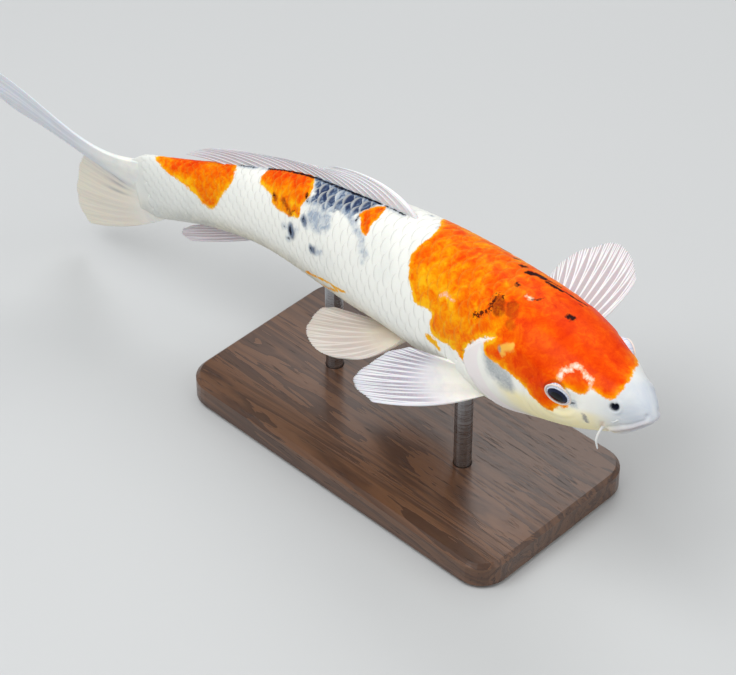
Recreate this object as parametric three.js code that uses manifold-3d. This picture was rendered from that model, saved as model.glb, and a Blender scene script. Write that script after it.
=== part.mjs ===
// A koi carp at life size, held in a swimming pose on a plain display stand.
// Millimetres, +Z up. The origin is the middle of the stand's foot, +X points to the fish's
// head and +Y to its left side.
//
// The body is worked out in its own coordinates: `along` runs down the curved axis from the
// snout tip (0) to the root of the tail fin (1), `across` is to the fish's left and `above`
// is up, all three as shares of the standard length.

import * as THREE from "three";
import { mergeVertices } from "three/addons/utils/BufferGeometryUtils.js";
import Module from "manifold-3d";

const wasm = await Module();
wasm.setup();

// ---------------------------------------------------------------- driving dimensions

const STANDARD_LENGTH = 310; // snout tip to the root of the tail fin, along the axis
const AXIS_HEIGHT = 98; // the body axis at mid length, above the floor
const NOSE_UP = 8.7; // degrees the whole axis climbs toward the head
const HEAD_YAW = -6.2; // degrees, head turned to the fish's right
const TRUNK_BEND = 1.2; // degrees the axis turns between the gills and the belly
const TAIL_BEND = 26.5; // degrees the axis turns along the tail
const GAP = 0.3; // clearance between neighbouring pieces

const EYE = { along: 0.1145, above: 0.008, radius: 7.2, bulge: 2.9, rake: 24, droop: 6 };
const GILL = { rear: 0.284, front: 0.188, upper: 36, lower: -66, rise: 1.1, depth: 2 };
const LIP = { upper: 2.1, lower: 1.8, corner: 1 };
const BARBEL = { root: 0.95, tip: 0.38 };
const FIN = { root: 3.2, edge: 0.8, swell: 9.5 };

const STAND = { length: 190, width: 100, thickness: 14, bevel: 2 };
const ROD = { radius: 4.2, sunk: 9, front: 0.37, rear: 0.66 };

// Body sections: half width, height above and depth below the axis, and how square the back
// (crown) and the belly (keel) are, where 2 is an ellipse.
const SECTIONS = [
  { along: 0.0, half: 0.023, up: 0.024, down: 0.016, crown: 2.2, keel: 2.1 },
  { along: 0.05, half: 0.0385, up: 0.04, down: 0.044, crown: 2.3, keel: 2.1 },
  { along: 0.12, half: 0.0655, up: 0.067, down: 0.067, crown: 2.4, keel: 2.15 },
  { along: 0.2, half: 0.079, up: 0.0895, down: 0.082, crown: 2.35, keel: 2.2 },
  { along: 0.28, half: 0.0815, up: 0.103, down: 0.095, crown: 2.2, keel: 2.3 },
  { along: 0.4, half: 0.08, up: 0.1125, down: 0.0855, crown: 2.05, keel: 2.1 },
  { along: 0.5, half: 0.074, up: 0.1105, down: 0.081, crown: 2.0, keel: 2.0 },
  { along: 0.6, half: 0.063, up: 0.1015, down: 0.087, crown: 2.0, keel: 2.0 },
  { along: 0.7, half: 0.053, up: 0.0915, down: 0.08, crown: 2.0, keel: 2.0 },
  { along: 0.8, half: 0.0415, up: 0.0735, down: 0.064, crown: 2.0, keel: 2.0 },
  { along: 0.9, half: 0.03, up: 0.0585, down: 0.0565, crown: 2.0, keel: 2.0 },
  { along: 0.96, half: 0.0235, up: 0.0565, down: 0.057, crown: 2.1, keel: 2.1 },
  { along: 1.0, half: 0.014, up: 0.058, down: 0.058, crown: 2.2, keel: 2.2 },
  { along: 1.03, half: 0.006, up: 0.05, down: 0.05, crown: 2.2, keel: 2.2 },
];
const SNOUT_ROUND = 0.045; // share of the length over which the snout rounds off
const STALK_END = 0.02; // how far the middle of the tail root reaches past its rim

const SIDES = 28; // facets around the body

// ---------------------------------------------------------------- body shape

const radians = THREE.MathUtils.degToRad;
const signedPower = (value, power) => Math.sign(value) * Math.abs(value) ** power;
const ease = (value) => THREE.MathUtils.smoothstep(value, 0, 1);

function yawAt(along) {
  const trunk = TRUNK_BEND * ease((along - 0.05) / 0.5);
  return radians(HEAD_YAW + trunk + TAIL_BEND * ease((along - 0.6) / 0.4));
}

function axesAt(along) {
  const yaw = yawAt(along);
  const pitch = radians(NOSE_UP);
  const level = Math.cos(pitch);
  const forward = new THREE.Vector3(Math.cos(yaw) * level, Math.sin(yaw) * level, Math.sin(pitch));
  const left = new THREE.Vector3(-Math.sin(yaw), Math.cos(yaw), 0);
  return { forward, left, up: forward.clone().cross(left) };
}

// The axis, summed from the snout in short steps and moved so that its middle is over the stand.
const AXIS_STEPS = 400;
const axisPoints = [new THREE.Vector3()];
for (let step = 1; step <= AXIS_STEPS; step += 1) {
  const { forward } = axesAt((step - 0.5) / AXIS_STEPS);
  const last = axisPoints[step - 1];
  axisPoints.push(last.clone().addScaledVector(forward, -STANDARD_LENGTH / AXIS_STEPS));
}
const axisMiddle = axisPoints[AXIS_STEPS / 2].clone();
axisPoints.forEach((point) => point.sub(axisMiddle).add(new THREE.Vector3(0, 0, AXIS_HEIGHT)));

function axisPoint(along) {
  const inside = THREE.MathUtils.clamp(along, 0, 1);
  const cell = Math.min(Math.floor(inside * AXIS_STEPS), AXIS_STEPS - 1);
  const point = axisPoints[cell].clone().lerp(axisPoints[cell + 1], inside * AXIS_STEPS - cell);
  return point.addScaledVector(axesAt(inside).forward, (inside - along) * STANDARD_LENGTH);
}

// A place given in body coordinates.
function place(along, across, above) {
  const { left, up } = axesAt(Math.min(along, 1));
  const point = axisPoint(along);
  point.addScaledVector(left, across * STANDARD_LENGTH);
  return point.addScaledVector(up, above * STANDARD_LENGTH);
}

// Smooth curve through one column of the section table.
function sectionValue(key, along) {
  const last = SECTIONS.length - 1;
  let cell = 0;
  while (cell < last - 1 && along > SECTIONS[cell + 1].along) cell += 1;
  const row = (index) => SECTIONS[THREE.MathUtils.clamp(index, 0, last)];
  const slope = (index) => {
    const run = row(index + 1).along - row(index - 1).along;
    return (row(index + 1)[key] - row(index - 1)[key]) / run;
  };
  const width = row(cell + 1).along - row(cell).along;
  const t = (along - row(cell).along) / width;
  const rise = t * t * (3 - 2 * t);
  const bend = t * (1 - t) * width * (slope(cell) * (1 - t) - slope(cell + 1) * t);
  return row(cell)[key] * (1 - rise) + row(cell + 1)[key] * rise + bend;
}

// A point on the body's surface, `lift` millimetres outside it. The angle is 0 on the left
// flank and a quarter turn on the back.
function bodyPoint(along, angle, lift = 0) {
  const snout = 1 - Math.min(along / SNOUT_ROUND, 1);
  const round = Math.sqrt(Math.max(1 - snout * snout, 0));
  const top = Math.sin(angle) > 0;
  const power = 2 / sectionValue(top ? "crown" : "keel", along);
  const extra = lift / STANDARD_LENGTH;
  const half = sectionValue("half", along) * round + extra;
  const tall = sectionValue(top ? "up" : "down", along) * round + extra;
  const across = half * signedPower(Math.cos(angle), power);
  return place(along, across, tall * signedPower(Math.sin(angle), power));
}

// Above this share of the slope the gill opening has ended, and its edge runs straight up.
const GILL_TOP = 0.44;

// The rear edge of the gill covers, as a place along the body for each angle around it.
function gillEdge(angle) {
  const slope = Math.asin(Math.sin(angle));
  const above = Math.max(slope, 0) / radians(84);
  const below = Math.max(-slope, 0) / radians(96);
  return GILL.rear - 0.278 * Math.min(above, GILL_TOP) ** 1.63 - 0.13 * below ** 1.3;
}

// The front edge of a gill cover curves the same way, more gently.
function coverFront(angle) {
  return GILL.front + 0.45 * (gillEdge(angle) - GILL.rear);
}

// ---------------------------------------------------------------- solids

// A closed geometry with merged vertices and its faces turned outward.
function closed(geometry) {
  geometry.deleteAttribute("normal");
  geometry.deleteAttribute("uv");
  const merged = mergeVertices(geometry, 1e-4);
  const kept = [];
  let volume = 0;
  const corner = [new THREE.Vector3(), new THREE.Vector3(), new THREE.Vector3()];
  for (let first = 0; first < merged.index.count; first += 3) {
    const face = [0, 1, 2].map((offset) => merged.index.getX(first + offset));
    if (face[0] === face[1] || face[1] === face[2] || face[2] === face[0]) continue;
    face.forEach((vertex, k) => corner[k].fromBufferAttribute(merged.attributes.position, vertex));
    volume += corner[0].dot(corner[1].clone().cross(corner[2]));
    kept.push(...face);
  }
  if (volume < 0) kept.reverse();
  merged.setIndex(kept);
  return merged;
}

function toSolid(geometry) {
  const vertProperties = new Float32Array(geometry.attributes.position.array);
  const triVerts = new Uint32Array(geometry.index.array);
  return new wasm.Manifold(new wasm.Mesh({ numProp: 3, vertProperties, triVerts }));
}

function fromSolid(solid) {
  const mesh = solid.getMesh();
  const geometry = new THREE.BufferGeometry();
  geometry.setAttribute("position", new THREE.BufferAttribute(mesh.vertProperties, 3));
  geometry.setIndex(new THREE.BufferAttribute(mesh.triVerts, 1));
  return geometry;
}

// Moves every vertex of a geometry by a function of its old place.
function reshape(geometry, move) {
  const { position } = geometry.attributes;
  const point = new THREE.Vector3();
  for (let vertex = 0; vertex < position.count; vertex += 1) {
    const moved = move(point.fromBufferAttribute(position, vertex));
    position.setXYZ(vertex, moved.x, moved.y, moved.z);
  }
  return closed(geometry);
}

// A length of the body between two edges, each a place along the body for each angle. The
// middle of each end face lies at `middles`.
function bodyLength(startEdge, endEdge, middles, rings, lift = 0, crowding = 1) {
  return reshape(new THREE.CylinderGeometry(1, 1, 1, SIDES, rings), (point) => {
    const share = (0.5 - point.y) ** crowding;
    if (Math.hypot(point.x, point.z) < 0.5) return axisPoint(middles[Math.round(share)]);
    const angle = Math.atan2(point.x, point.z);
    const along = THREE.MathUtils.lerp(startEdge(angle), endEdge(angle), share);
    return bodyPoint(along, angle, lift);
  });
}

// A round tube along a curve, its radius a function of the share of the way.
function tube(curve, radiusAt, sides, steps) {
  const reference = new THREE.Vector3(0.13, 0.07, 1).normalize();
  return reshape(new THREE.CylinderGeometry(1, 1, 1, sides, steps), (point) => {
    const share = 0.5 - point.y;
    const heading = curve.getTangent(share);
    const side = reference.clone().cross(heading).normalize();
    const rise = heading.clone().cross(side);
    const centre = curve.getPoint(share);
    const radius = radiusAt(share);
    return centre.addScaledVector(side, radius * point.z).addScaledVector(rise, radius * point.x);
  });
}

// A thin curved plate over a sheet of two shares, `thick` giving its thickness.
function plate(sheet, thick, cellsAcross, cellsAlong) {
  const box = new THREE.BoxGeometry(1, 1, 1, cellsAcross, cellsAlong, 1);
  const [after, before] = [(share) => Math.min(share + 1e-3, 1), (share) => Math.max(share - 1e-3, 0)];
  return reshape(box, ({ x, y, z }) => {
    const [u, v] = [x + 0.5, y + 0.5];
    const stepU = sheet(after(u), v).sub(sheet(before(u), v));
    const stepV = sheet(u, after(v)).sub(sheet(u, before(v)));
    return sheet(u, v).addScaledVector(stepU.cross(stepV).normalize(), z * thick(u, v));
  });
}

const group = new THREE.Group();

function addMesh(name, geometry, color, roughness, metalness = 0) {
  const material = new THREE.MeshStandardMaterial({ color, roughness, metalness });
  const mesh = new THREE.Mesh(geometry, material);
  mesh.name = name;
  group.add(mesh);
}

const COLOUR = { white: 0xf1eef0, red: 0xe2572b, fin: 0xded6dc, pearl: 0xcfd2da, eye: 0x20232e };
const SIDE_NAMES = [["right", -1], ["left", 1]];

// ---------------------------------------------------------------- eyes

// The eyeball sits behind the surface so that only its outer cap stands proud.
function eyeCentre(side) {
  const lean = EYE.above / sectionValue("up", EYE.along);
  const angle = side > 0 ? Math.asin(lean) : Math.PI - Math.asin(lean);
  const surface = bodyPoint(EYE.along, angle);
  const { forward, left, up } = axesAt(EYE.along);
  const outward = left.clone().multiplyScalar(side * Math.cos(radians(EYE.rake)));
  outward.addScaledVector(forward, Math.sin(radians(EYE.rake)));
  outward.addScaledVector(up, -Math.sin(radians(EYE.droop))).normalize();
  return surface.addScaledVector(outward, EYE.bulge - EYE.radius);
}

function eyeball(side, lift = 0) {
  const centre = eyeCentre(side);
  const ball = new THREE.SphereGeometry(EYE.radius + lift, 14, 9);
  ball.rotateX(Math.PI / 2);
  ball.translate(centre.x, centre.y, centre.z);
  return closed(ball);
}

// ---------------------------------------------------------------- gill covers

// A plate lying on the side of the head from the cheek to the gill opening. As a cutter it is
// larger all round by `margin`, and longer by `behind` at its rear edge.
function gillCover(side, margin = 0, behind = margin) {
  const reach = margin / STANDARD_LENGTH;
  const turn = radians(margin * 0.8);
  const box = new THREE.BoxGeometry(1, 1, 1, 5, 10, 1);
  return reshape(box, ({ x, y, z }) => {
    const slope = THREE.MathUtils.lerp(
      radians(GILL.lower) - turn, radians(GILL.upper) + turn, y + 0.5);
    const angle = side > 0 ? slope : Math.PI - slope;
    const front = coverFront(angle) - reach;
    const rear = gillEdge(angle) + behind / STANDARD_LENGTH;
    const along = THREE.MathUtils.lerp(front, rear, x + 0.5);
    const rise = GILL.rise * ease(x + 0.5) + margin;
    return bodyPoint(along, angle, z > 0 ? rise : -GILL.depth - margin);
  });
}

// ---------------------------------------------------------------- lips and barbels

// A lip runs from one corner of the mouth round the front to the other.
function lip(front, quarter, corner, thickness, lift = 0) {
  const half = [corner, quarter];
  const points = [...half.map(([s, w, z]) => place(s, w, z)), place(front[0], 0, front[1])];
  half.reverse().forEach(([s, w, z]) => points.push(place(s, -w, z)));
  const radiusAt = (share) => {
    const middle = 1 - Math.abs(2 * share - 1) ** 3;
    return THREE.MathUtils.lerp(LIP.corner, thickness, middle) + lift;
  };
  return tube(new THREE.CatmullRomCurve3(points), radiusAt, 8, 14);
}

const upperLip = (lift) =>
  lip([0.009, 0.006], [0.021, 0.0215, -0.007], [0.05, 0.0385, -0.0215], LIP.upper, lift);
const lowerLip = (lift) =>
  lip([0.0145, -0.0095], [0.027, 0.0205, -0.0215], [0.052, 0.036, -0.034], LIP.lower, lift);

// A barbel starts under the skin and hangs down, outward and back.
function barbel(side, root, length, lift = 0) {
  const [along, across, above] = root;
  const drop = length / STANDARD_LENGTH;
  const points = [
    place(along, side * (across - 0.004), above + 0.002),
    place(along + 0.04 * drop, side * (across + 0.2 * drop), above - 0.4 * drop),
    place(along - 0.04 * drop, side * (across + 0.24 * drop), above - 0.95 * drop),
  ];
  const radiusAt = (share) => THREE.MathUtils.lerp(BARBEL.root, BARBEL.tip, share) + lift;
  return tube(new THREE.CatmullRomCurve3(points), radiusAt, 6, 5);
}

const longBarbel = (side, lift) => barbel(side, [0.06, 0.041, -0.027], 10, lift);
const shortBarbel = (side, lift) => barbel(side, [0.036, 0.034, -0.001], 5.5, lift);

// ---------------------------------------------------------------- head, trunk and tail

const split = GAP / STANDARD_LENGTH;
const at = (along) => () => along;
const stalkEdge = (angle) => 1 + STALK_END * Math.cos(angle) ** 2;
const TRUNK_SPLIT = 0.53;
const STALK_SPLIT = 0.79;
const HEAD_BACK = 0.24;

let head = toSolid(bodyLength(at(0.0012), gillEdge, [0.0012, HEAD_BACK], 12, 0, 1.5));
const gillBack = (angle) => gillEdge(angle) + 2 * split;
let trunkFront = toSolid(bodyLength(gillBack, at(TRUNK_SPLIT), [HEAD_BACK + 2 * split, TRUNK_SPLIT], 9));
SIDE_NAMES.forEach(([, side]) => {
  const coverSlot = gillCover(side, GAP, 6 * GAP);
  [eyeball(side, GAP), coverSlot, longBarbel(side, GAP), shortBarbel(side, GAP)].forEach((hole) => {
    head = head.subtract(toSolid(hole));
  });
  trunkFront = trunkFront.subtract(toSolid(gillCover(side, GAP)));
});
head = head.subtract(toSolid(upperLip(GAP))).subtract(toSolid(lowerLip(GAP)));
addMesh("head", fromSolid(head), COLOUR.red, 0.35);
const rearStart = TRUNK_SPLIT + split;
const trunkRear = bodyLength(at(rearStart), at(STALK_SPLIT), [rearStart, STALK_SPLIT], 7);
const stalkStart = STALK_SPLIT + split;
const stalk = bodyLength(at(stalkStart), stalkEdge, [stalkStart, 1 + STALK_END], 7);
addMesh("trunk_front", fromSolid(trunkFront), COLOUR.white, 0.35);
addMesh("trunk_rear", trunkRear, COLOUR.white, 0.35);
addMesh("tail_stalk", stalk, COLOUR.white, 0.35);

SIDE_NAMES.forEach(([word, side]) => {
  addMesh(`gill_cover_${word}`, gillCover(side), COLOUR.pearl, 0.3);
  addMesh(`eye_${word}`, eyeball(side), COLOUR.eye, 0.1);
  addMesh(`barbel_long_${word}`, longBarbel(side), COLOUR.white, 0.4);
  addMesh(`barbel_short_${word}`, shortBarbel(side), COLOUR.white, 0.4);
});
addMesh("lip_upper", upperLip(), COLOUR.white, 0.35);
addMesh("lip_lower", lowerLip(), COLOUR.white, 0.35);

// The body and gill covers a little larger, which keeps the fins and the rods clear of them.
const outerEnd = (angle) => stalkEdge(angle) + split;
const outerMiddles = [0.0012, 1 + STALK_END + split];
let wholeBody = toSolid(bodyLength(at(0.0012), outerEnd, outerMiddles, 36, 1.4 * GAP));
SIDE_NAMES.forEach(([, side]) => {
  wholeBody = wholeBody.add(toSolid(gillCover(side, GAP)));
});

// ---------------------------------------------------------------- fins

// A fin's sheet: rays leave `root`, bow by `bow`, swing in an S by `sway` and end on a smooth
// curve through the margin.
function finSheet({ root, margin, bow, sway = () => [0, 0, 0] }) {
  const edge = new THREE.CatmullRomCurve3(margin.map((point) => new THREE.Vector3(...point)));
  return (u, v) => {
    const start = new THREE.Vector3(...root(u));
    const end = edge.getPoint(u);
    const knee = start.clone().lerp(end, 0.5).add(new THREE.Vector3(...bow(u)));
    const ray = new THREE.QuadraticBezierCurve3(start, knee, end);
    const bend = new THREE.Vector3(...sway(u)).multiplyScalar(v * (1 - v) * (2 * v - 1));
    return place(...ray.getPoint(v).add(bend).toArray());
  };
}

function finThickness(u, v) {
  return FIN.edge + (FIN.root - FIN.edge) * (1 - v) ** 1.6;
}

function addFin(name, sheet, cellsAcross, cellsAlong, thickness = finThickness) {
  const solid = toSolid(plate(sheet, thickness, cellsAcross, cellsAlong));
  addMesh(name, fromSolid(solid.subtract(wholeBody)), COLOUR.fin, 0.45);
}

const mix = (from, to, share) => from.map((value, k) => value + (to[k] - value) * share);
const scaled = (values, factor) => values.map((value) => value * factor);

// Laid back along the ridge: the long front rays arch up and over.
const dorsalSheet = finSheet({
  root: (u) => {
    const along = 0.448 + 0.392 * u;
    return [along, 0, sectionValue("up", along) - 0.012];
  },
  margin: [
    [0.645, 0.006, 0.122],
    [0.7, 0.006, 0.1],
    [0.775, 0.008, 0.091],
    [0.85, 0.01, 0.083],
    [0.905, 0.009, 0.076],
    [0.932, 0.004, 0.066],
  ],
  bow: (u) => [-0.045 + 0.045 * u, 0, 0.045 * (1 - u) ** 1.5 + 0.006],
});
addFin("dorsal_fin", dorsalSheet, 22, 4);

const analSheet = finSheet({
  root: (u) => {
    const along = 0.805 + 0.068 * u;
    return [along, 0, -sectionValue("down", along) + 0.012];
  },
  margin: [
    [0.952, 0.002, -0.097],
    [0.968, 0.003, -0.089],
    [0.966, 0.003, -0.078],
    [0.948, 0.002, -0.067],
  ],
  bow: (u) => scaled([-0.014, 0, -0.012], 1 - u),
});
addFin("anal_fin", analSheet, 8, 4);

// The tail fin sweeps to the fish's left, the lower lobe more than the upper. Its root is
// fleshy, so that the tail thins into it without a step.
const caudalSheet = finSheet({
  root: (u) => [0.985, 0, 0.051 - 0.108 * u],
  margin: [
    [1.288, 0.034, 0.178],
    [1.296, 0.04, 0.132],
    [1.262, 0.05, 0.088],
    [1.208, 0.058, 0.045],
    [1.16, 0.07, 0.001],
    [1.178, 0.08, -0.04],
    [1.2, 0.09, -0.088],
    [1.213, 0.1, -0.13],
    [1.2, 0.1, -0.168],
  ],
  bow: (u) => [-0.008 * Math.abs(1 - 2 * u), -0.018, -0.055 * (1 - u) ** 1.5 - 0.01 * u ** 2],
  sway: (u) => scaled([-0.1, 0, 0.107], (1 - u) ** 2),
});
const lobeGap = 0.0045;
[["upper", 0], ["lower", 0.5 + lobeGap]].forEach(([word, first]) => {
  const share = (u) => first + u * (0.5 - lobeGap);
  const lobe = (u, v) => caudalSheet(share(u), v);
  const swelling = (u, v) => FIN.swell * (1 - v) ** 3 * Math.sqrt(share(u) * (1 - share(u)));
  addFin(`caudal_fin_${word}`, lobe, 11, 6, (u, v) => finThickness(u, v) + swelling(u, v));
});

// The right pectoral is swept back under the flank, the left one is spread and raised.
const pectoralRoot = (side) => (u) =>
  mix([0.271, side * 0.058, -0.066], [0.298, side * 0.074, -0.021], u);
const rightPectoral = finSheet({
  root: pectoralRoot(-1),
  margin: [
    [0.407, -0.156, -0.091],
    [0.4495, -0.1495, -0.09],
    [0.462, -0.142, -0.086],
    [0.466, -0.113, -0.079],
    [0.445, -0.093, -0.06],
    [0.4, -0.085, -0.032],
  ],
  bow: (u) => [-0.035 * (1 - u) ** 1.5, -0.018 * (1 - u) - 0.014 * u, 0.002 + 0.01 * u],
});
const leftPectoral = finSheet({
  root: pectoralRoot(1),
  margin: [
    [0.258, 0.218, -0.008],
    [0.296, 0.244, 0.003],
    [0.338, 0.25, 0.004],
    [0.37, 0.218, -0.009],
    [0.382, 0.175, -0.024],
    [0.362, 0.125, -0.032],
  ],
  bow: (u) => scaled([-0.028, 0.02, 0.004], (1 - u) ** 1.5),
});
addFin("pectoral_fin_right", rightPectoral, 10, 5);
addFin("pectoral_fin_left", leftPectoral, 10, 5);

// The pelvic fins lie nearly flat under the belly.
const pelvicSheet = (side) => finSheet({
  root: (u) => mix([0.456, side * 0.042, -0.065], [0.49, side * 0.026, -0.074], u),
  margin: [
    [0.518, side * 0.111, -0.094],
    [0.558, side * 0.124, -0.094],
    [0.609, side * 0.108, -0.094],
    [0.634, side * 0.082, -0.094],
    [0.644, side * 0.054, -0.094],
    [0.632, side * 0.036, -0.093],
  ],
  bow: (u) => scaled([-0.016, side * 0.03, -0.004], (1 - u) ** 1.5),
});
SIDE_NAMES.forEach(([word, side]) => addFin(`pelvic_fin_${word}`, pelvicSheet(side), 8, 4));

// ---------------------------------------------------------------- display stand

function rodShape(along, lift = 0) {
  const foot = place(along, 0, 0);
  const bottom = STAND.thickness - ROD.sunk - lift;
  const top = foot.z - 0.05 * STANDARD_LENGTH;
  const profile = [
    new THREE.Vector2(0, bottom),
    new THREE.Vector2(ROD.radius + lift, bottom),
    new THREE.Vector2(ROD.radius + lift, top),
    new THREE.Vector2(0, top),
  ];
  const rod = new THREE.LatheGeometry(profile, 16);
  rod.rotateX(Math.PI / 2);
  rod.translate(foot.x, foot.y, 0);
  return toSolid(closed(rod));
}

function standBase() {
  const [length, width] = [STAND.length / 2 - STAND.bevel, STAND.width / 2 - STAND.bevel];
  const outline = new THREE.Shape();
  const corner = 12;
  outline.absarc(length - corner, width - corner, corner, 0, Math.PI / 2);
  outline.absarc(corner - length, width - corner, corner, Math.PI / 2, Math.PI);
  outline.absarc(corner - length, corner - width, corner, Math.PI, 1.5 * Math.PI);
  outline.absarc(length - corner, corner - width, corner, 1.5 * Math.PI, 2 * Math.PI);
  const base = new THREE.ExtrudeGeometry(outline, {
    depth: STAND.thickness - 2 * STAND.bevel,
    bevelSize: STAND.bevel,
    bevelThickness: STAND.bevel,
    bevelSegments: 1,
    curveSegments: 4,
  });
  base.translate(0, 0, STAND.bevel);
  return toSolid(closed(base));
}

let base = standBase();
[["front", ROD.front], ["rear", ROD.rear]].forEach(([word, along]) => {
  base = base.subtract(rodShape(along, GAP));
  addMesh(`stand_rod_${word}`, fromSolid(rodShape(along).subtract(wholeBody)), 0xb9bcc0, 0.3, 1);
});
addMesh("stand_base", fromSolid(base), 0x3a241a, 0.4);

export default group;
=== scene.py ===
"""A koi carp on a plain display stand, dressed over its fixed frame.

Lengths are in metres. A share is a part of the standard length, which runs from the tip of the
snout to the root of the tail fin. A place on the fish is (along, across, above) in shares: along
runs back from the snout on the curved axis, across is positive to the fish's left, and above is
positive upwards. The angle round the body is 0 on the left flank, 90 on the back, 180 on the
right flank and 270 under the belly.
"""

import bpy
import numpy as np
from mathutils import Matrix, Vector


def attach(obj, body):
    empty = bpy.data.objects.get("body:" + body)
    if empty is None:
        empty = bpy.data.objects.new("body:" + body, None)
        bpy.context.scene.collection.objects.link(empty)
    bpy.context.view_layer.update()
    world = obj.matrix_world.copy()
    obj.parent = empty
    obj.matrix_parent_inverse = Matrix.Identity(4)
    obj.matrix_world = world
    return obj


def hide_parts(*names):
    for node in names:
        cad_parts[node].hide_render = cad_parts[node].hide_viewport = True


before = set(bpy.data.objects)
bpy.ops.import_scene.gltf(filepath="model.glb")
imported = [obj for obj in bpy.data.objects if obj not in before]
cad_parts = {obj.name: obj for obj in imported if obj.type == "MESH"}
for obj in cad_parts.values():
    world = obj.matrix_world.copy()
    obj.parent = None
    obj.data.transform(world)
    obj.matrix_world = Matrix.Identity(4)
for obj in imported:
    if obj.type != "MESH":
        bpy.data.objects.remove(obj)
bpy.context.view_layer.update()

MM = 0.001
SL = 0.310
AXIS_HEIGHT = 0.098
NOSE_UP = np.radians(8.7)
HEAD_YAW, TRUNK_BEND, TAIL_BEND = -6.2, 1.2, 26.5
SNOUT = 0.045

# Cross-sections, in shares: along, half width, height above the axis, depth below it, and how
# square the section is above and below.
SECTIONS = np.array([
    [0.00, 0.0230, 0.0240, 0.0160, 2.20, 2.10],
    [0.05, 0.0385, 0.0400, 0.0440, 2.30, 2.10],
    [0.12, 0.0655, 0.0670, 0.0670, 2.40, 2.15],
    [0.20, 0.0790, 0.0895, 0.0820, 2.35, 2.20],
    [0.28, 0.0815, 0.1030, 0.0950, 2.20, 2.30],
    [0.40, 0.0800, 0.1125, 0.0855, 2.05, 2.10],
    [0.50, 0.0740, 0.1105, 0.0810, 2.00, 2.00],
    [0.60, 0.0630, 0.1015, 0.0870, 2.00, 2.00],
    [0.70, 0.0530, 0.0915, 0.0800, 2.00, 2.00],
    [0.80, 0.0415, 0.0735, 0.0640, 2.00, 2.00],
    [0.90, 0.0300, 0.0585, 0.0565, 2.00, 2.00],
    [0.96, 0.0235, 0.0565, 0.0570, 2.10, 2.10],
    [1.00, 0.0140, 0.0580, 0.0580, 2.20, 2.20],
    [1.03, 0.0060, 0.0500, 0.0500, 2.20, 2.20],
])
HALF, UP, DOWN, CROWN, KEEL = 1, 2, 3, 4, 5

# The eyes. Where a value differs by side, -1 is the right and 1 the left.
EYE = {"along": {-1: 0.1170, 1: 0.1110}, "above": {-1: 0.0070, 1: 0.0130},
       "radius": 7.2 * MM, "depth": 4.0 * MM, "bulge": 1.3 * MM, "rake": np.radians(17),
       "droop": {-1: np.radians(15.5), 1: np.radians(12)}, "brow": {-1: 1.5 * MM, 1: -0.3 * MM}}
COAT_DEPTH = 0.3 * MM
SCALES = {"rows": 28, "front": 6.6 * MM, "rear": 4.6 * MM, "thick": 0.16 * MM}

# ------------------------------------------------------------------ the shape of the body


def ease(value):
    """Smooth step: t * t * (3 - 2 t) with t held between 0 and 1."""
    t = np.clip(value, 0, 1)
    return t * t * (3 - 2 * t)


def mix(low, high, share):
    """low + (high - low) * share."""
    return low + (high - low) * share


def bell(value, width):
    """exp(-(value / width)^2), a smooth bump one unit high."""
    return np.exp(-(value / width) ** 2)


def unit(vectors):
    """Vectors, along the last direction of an array, over their lengths."""
    return vectors / np.maximum(np.linalg.norm(vectors, axis=-1, keepdims=True), 1e-12)


def slope_of(angle):
    """The slope from the nearer flank of an angle round the body, both in degrees."""
    return np.degrees(np.arcsin(np.sin(np.radians(angle))))


def section(key, along):
    """One column of SECTIONS at each place along the body, as a cubic Hermite curve whose slope
    at a row is the rise between its two neighbours over their distance."""
    stations, values = SECTIONS[:, 0], SECTIONS[:, key]
    before = np.maximum(np.arange(len(stations)) - 1, 0)
    after = np.minimum(np.arange(len(stations)) + 1, len(stations) - 1)
    slope = (values[after] - values[before]) / (stations[after] - stations[before])
    row = np.clip(np.searchsorted(stations, along) - 1, 0, len(stations) - 2)
    width = stations[row + 1] - stations[row]
    t = np.clip((along - stations[row]) / width, 0, 1)
    bow = t * (1 - t) * width * (slope[row] * (1 - t) - slope[row + 1] * t)
    return mix(values[row], values[row + 1], t * t * (3 - 2 * t)) + bow


def directions(along):
    """Forward, left and up of the body: a constant pitch, and a yaw that grows in two eased
    bends, one of the trunk and one of the tail."""
    share = np.minimum(along, 1)
    yaw = HEAD_YAW + TRUNK_BEND * ease((share - 0.05) / 0.5) + TAIL_BEND * ease((share - 0.6) / 0.4)
    yaw = np.radians(yaw)
    level = np.cos(NOSE_UP)
    forward = np.stack([np.cos(yaw) * level, np.sin(yaw) * level, np.sin(NOSE_UP) + 0 * yaw], -1)
    left = np.stack([-np.sin(yaw), np.cos(yaw), 0 * yaw], -1)
    return forward, left, np.cross(forward, left)


def spine():
    """The axis from snout to tail root: the sum of the forward directions at the middles of 400
    equal steps, shifted so that its middle stands over the origin at the axis height."""
    steps = 400
    middles = (np.arange(steps) + 0.5) / steps
    points = np.vstack([np.zeros(3), np.cumsum(-directions(middles)[0] * SL / steps, 0)])
    return np.linspace(0, 1, steps + 1), points - points[steps // 2] + [0, 0, AXIS_HEIGHT]


SPINE = spine()


def axis(along):
    """A point of the axis: interpolated on the body, straight on behind the tail root."""
    held = np.clip(along, 0, 1)
    point = np.stack([np.interp(held, SPINE[0], SPINE[1][:, k]) for k in range(3)], -1)
    return point + directions(held)[0] * ((held - along) * SL)[..., None]


def place(along, across, above):
    """axis(along) + left * across + up * above, with the offsets in shares."""
    along, across, above = np.broadcast_arrays(
        np.asarray(along, float), np.asarray(across, float), np.asarray(above, float))
    _, left, up = directions(along)
    return axis(along) + left * (across * SL)[..., None] + up * (above * SL)[..., None]


def signed_power(value, power):
    """The power of the size, with the sign of the value."""
    return np.sign(value) * np.abs(value) ** power


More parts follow.
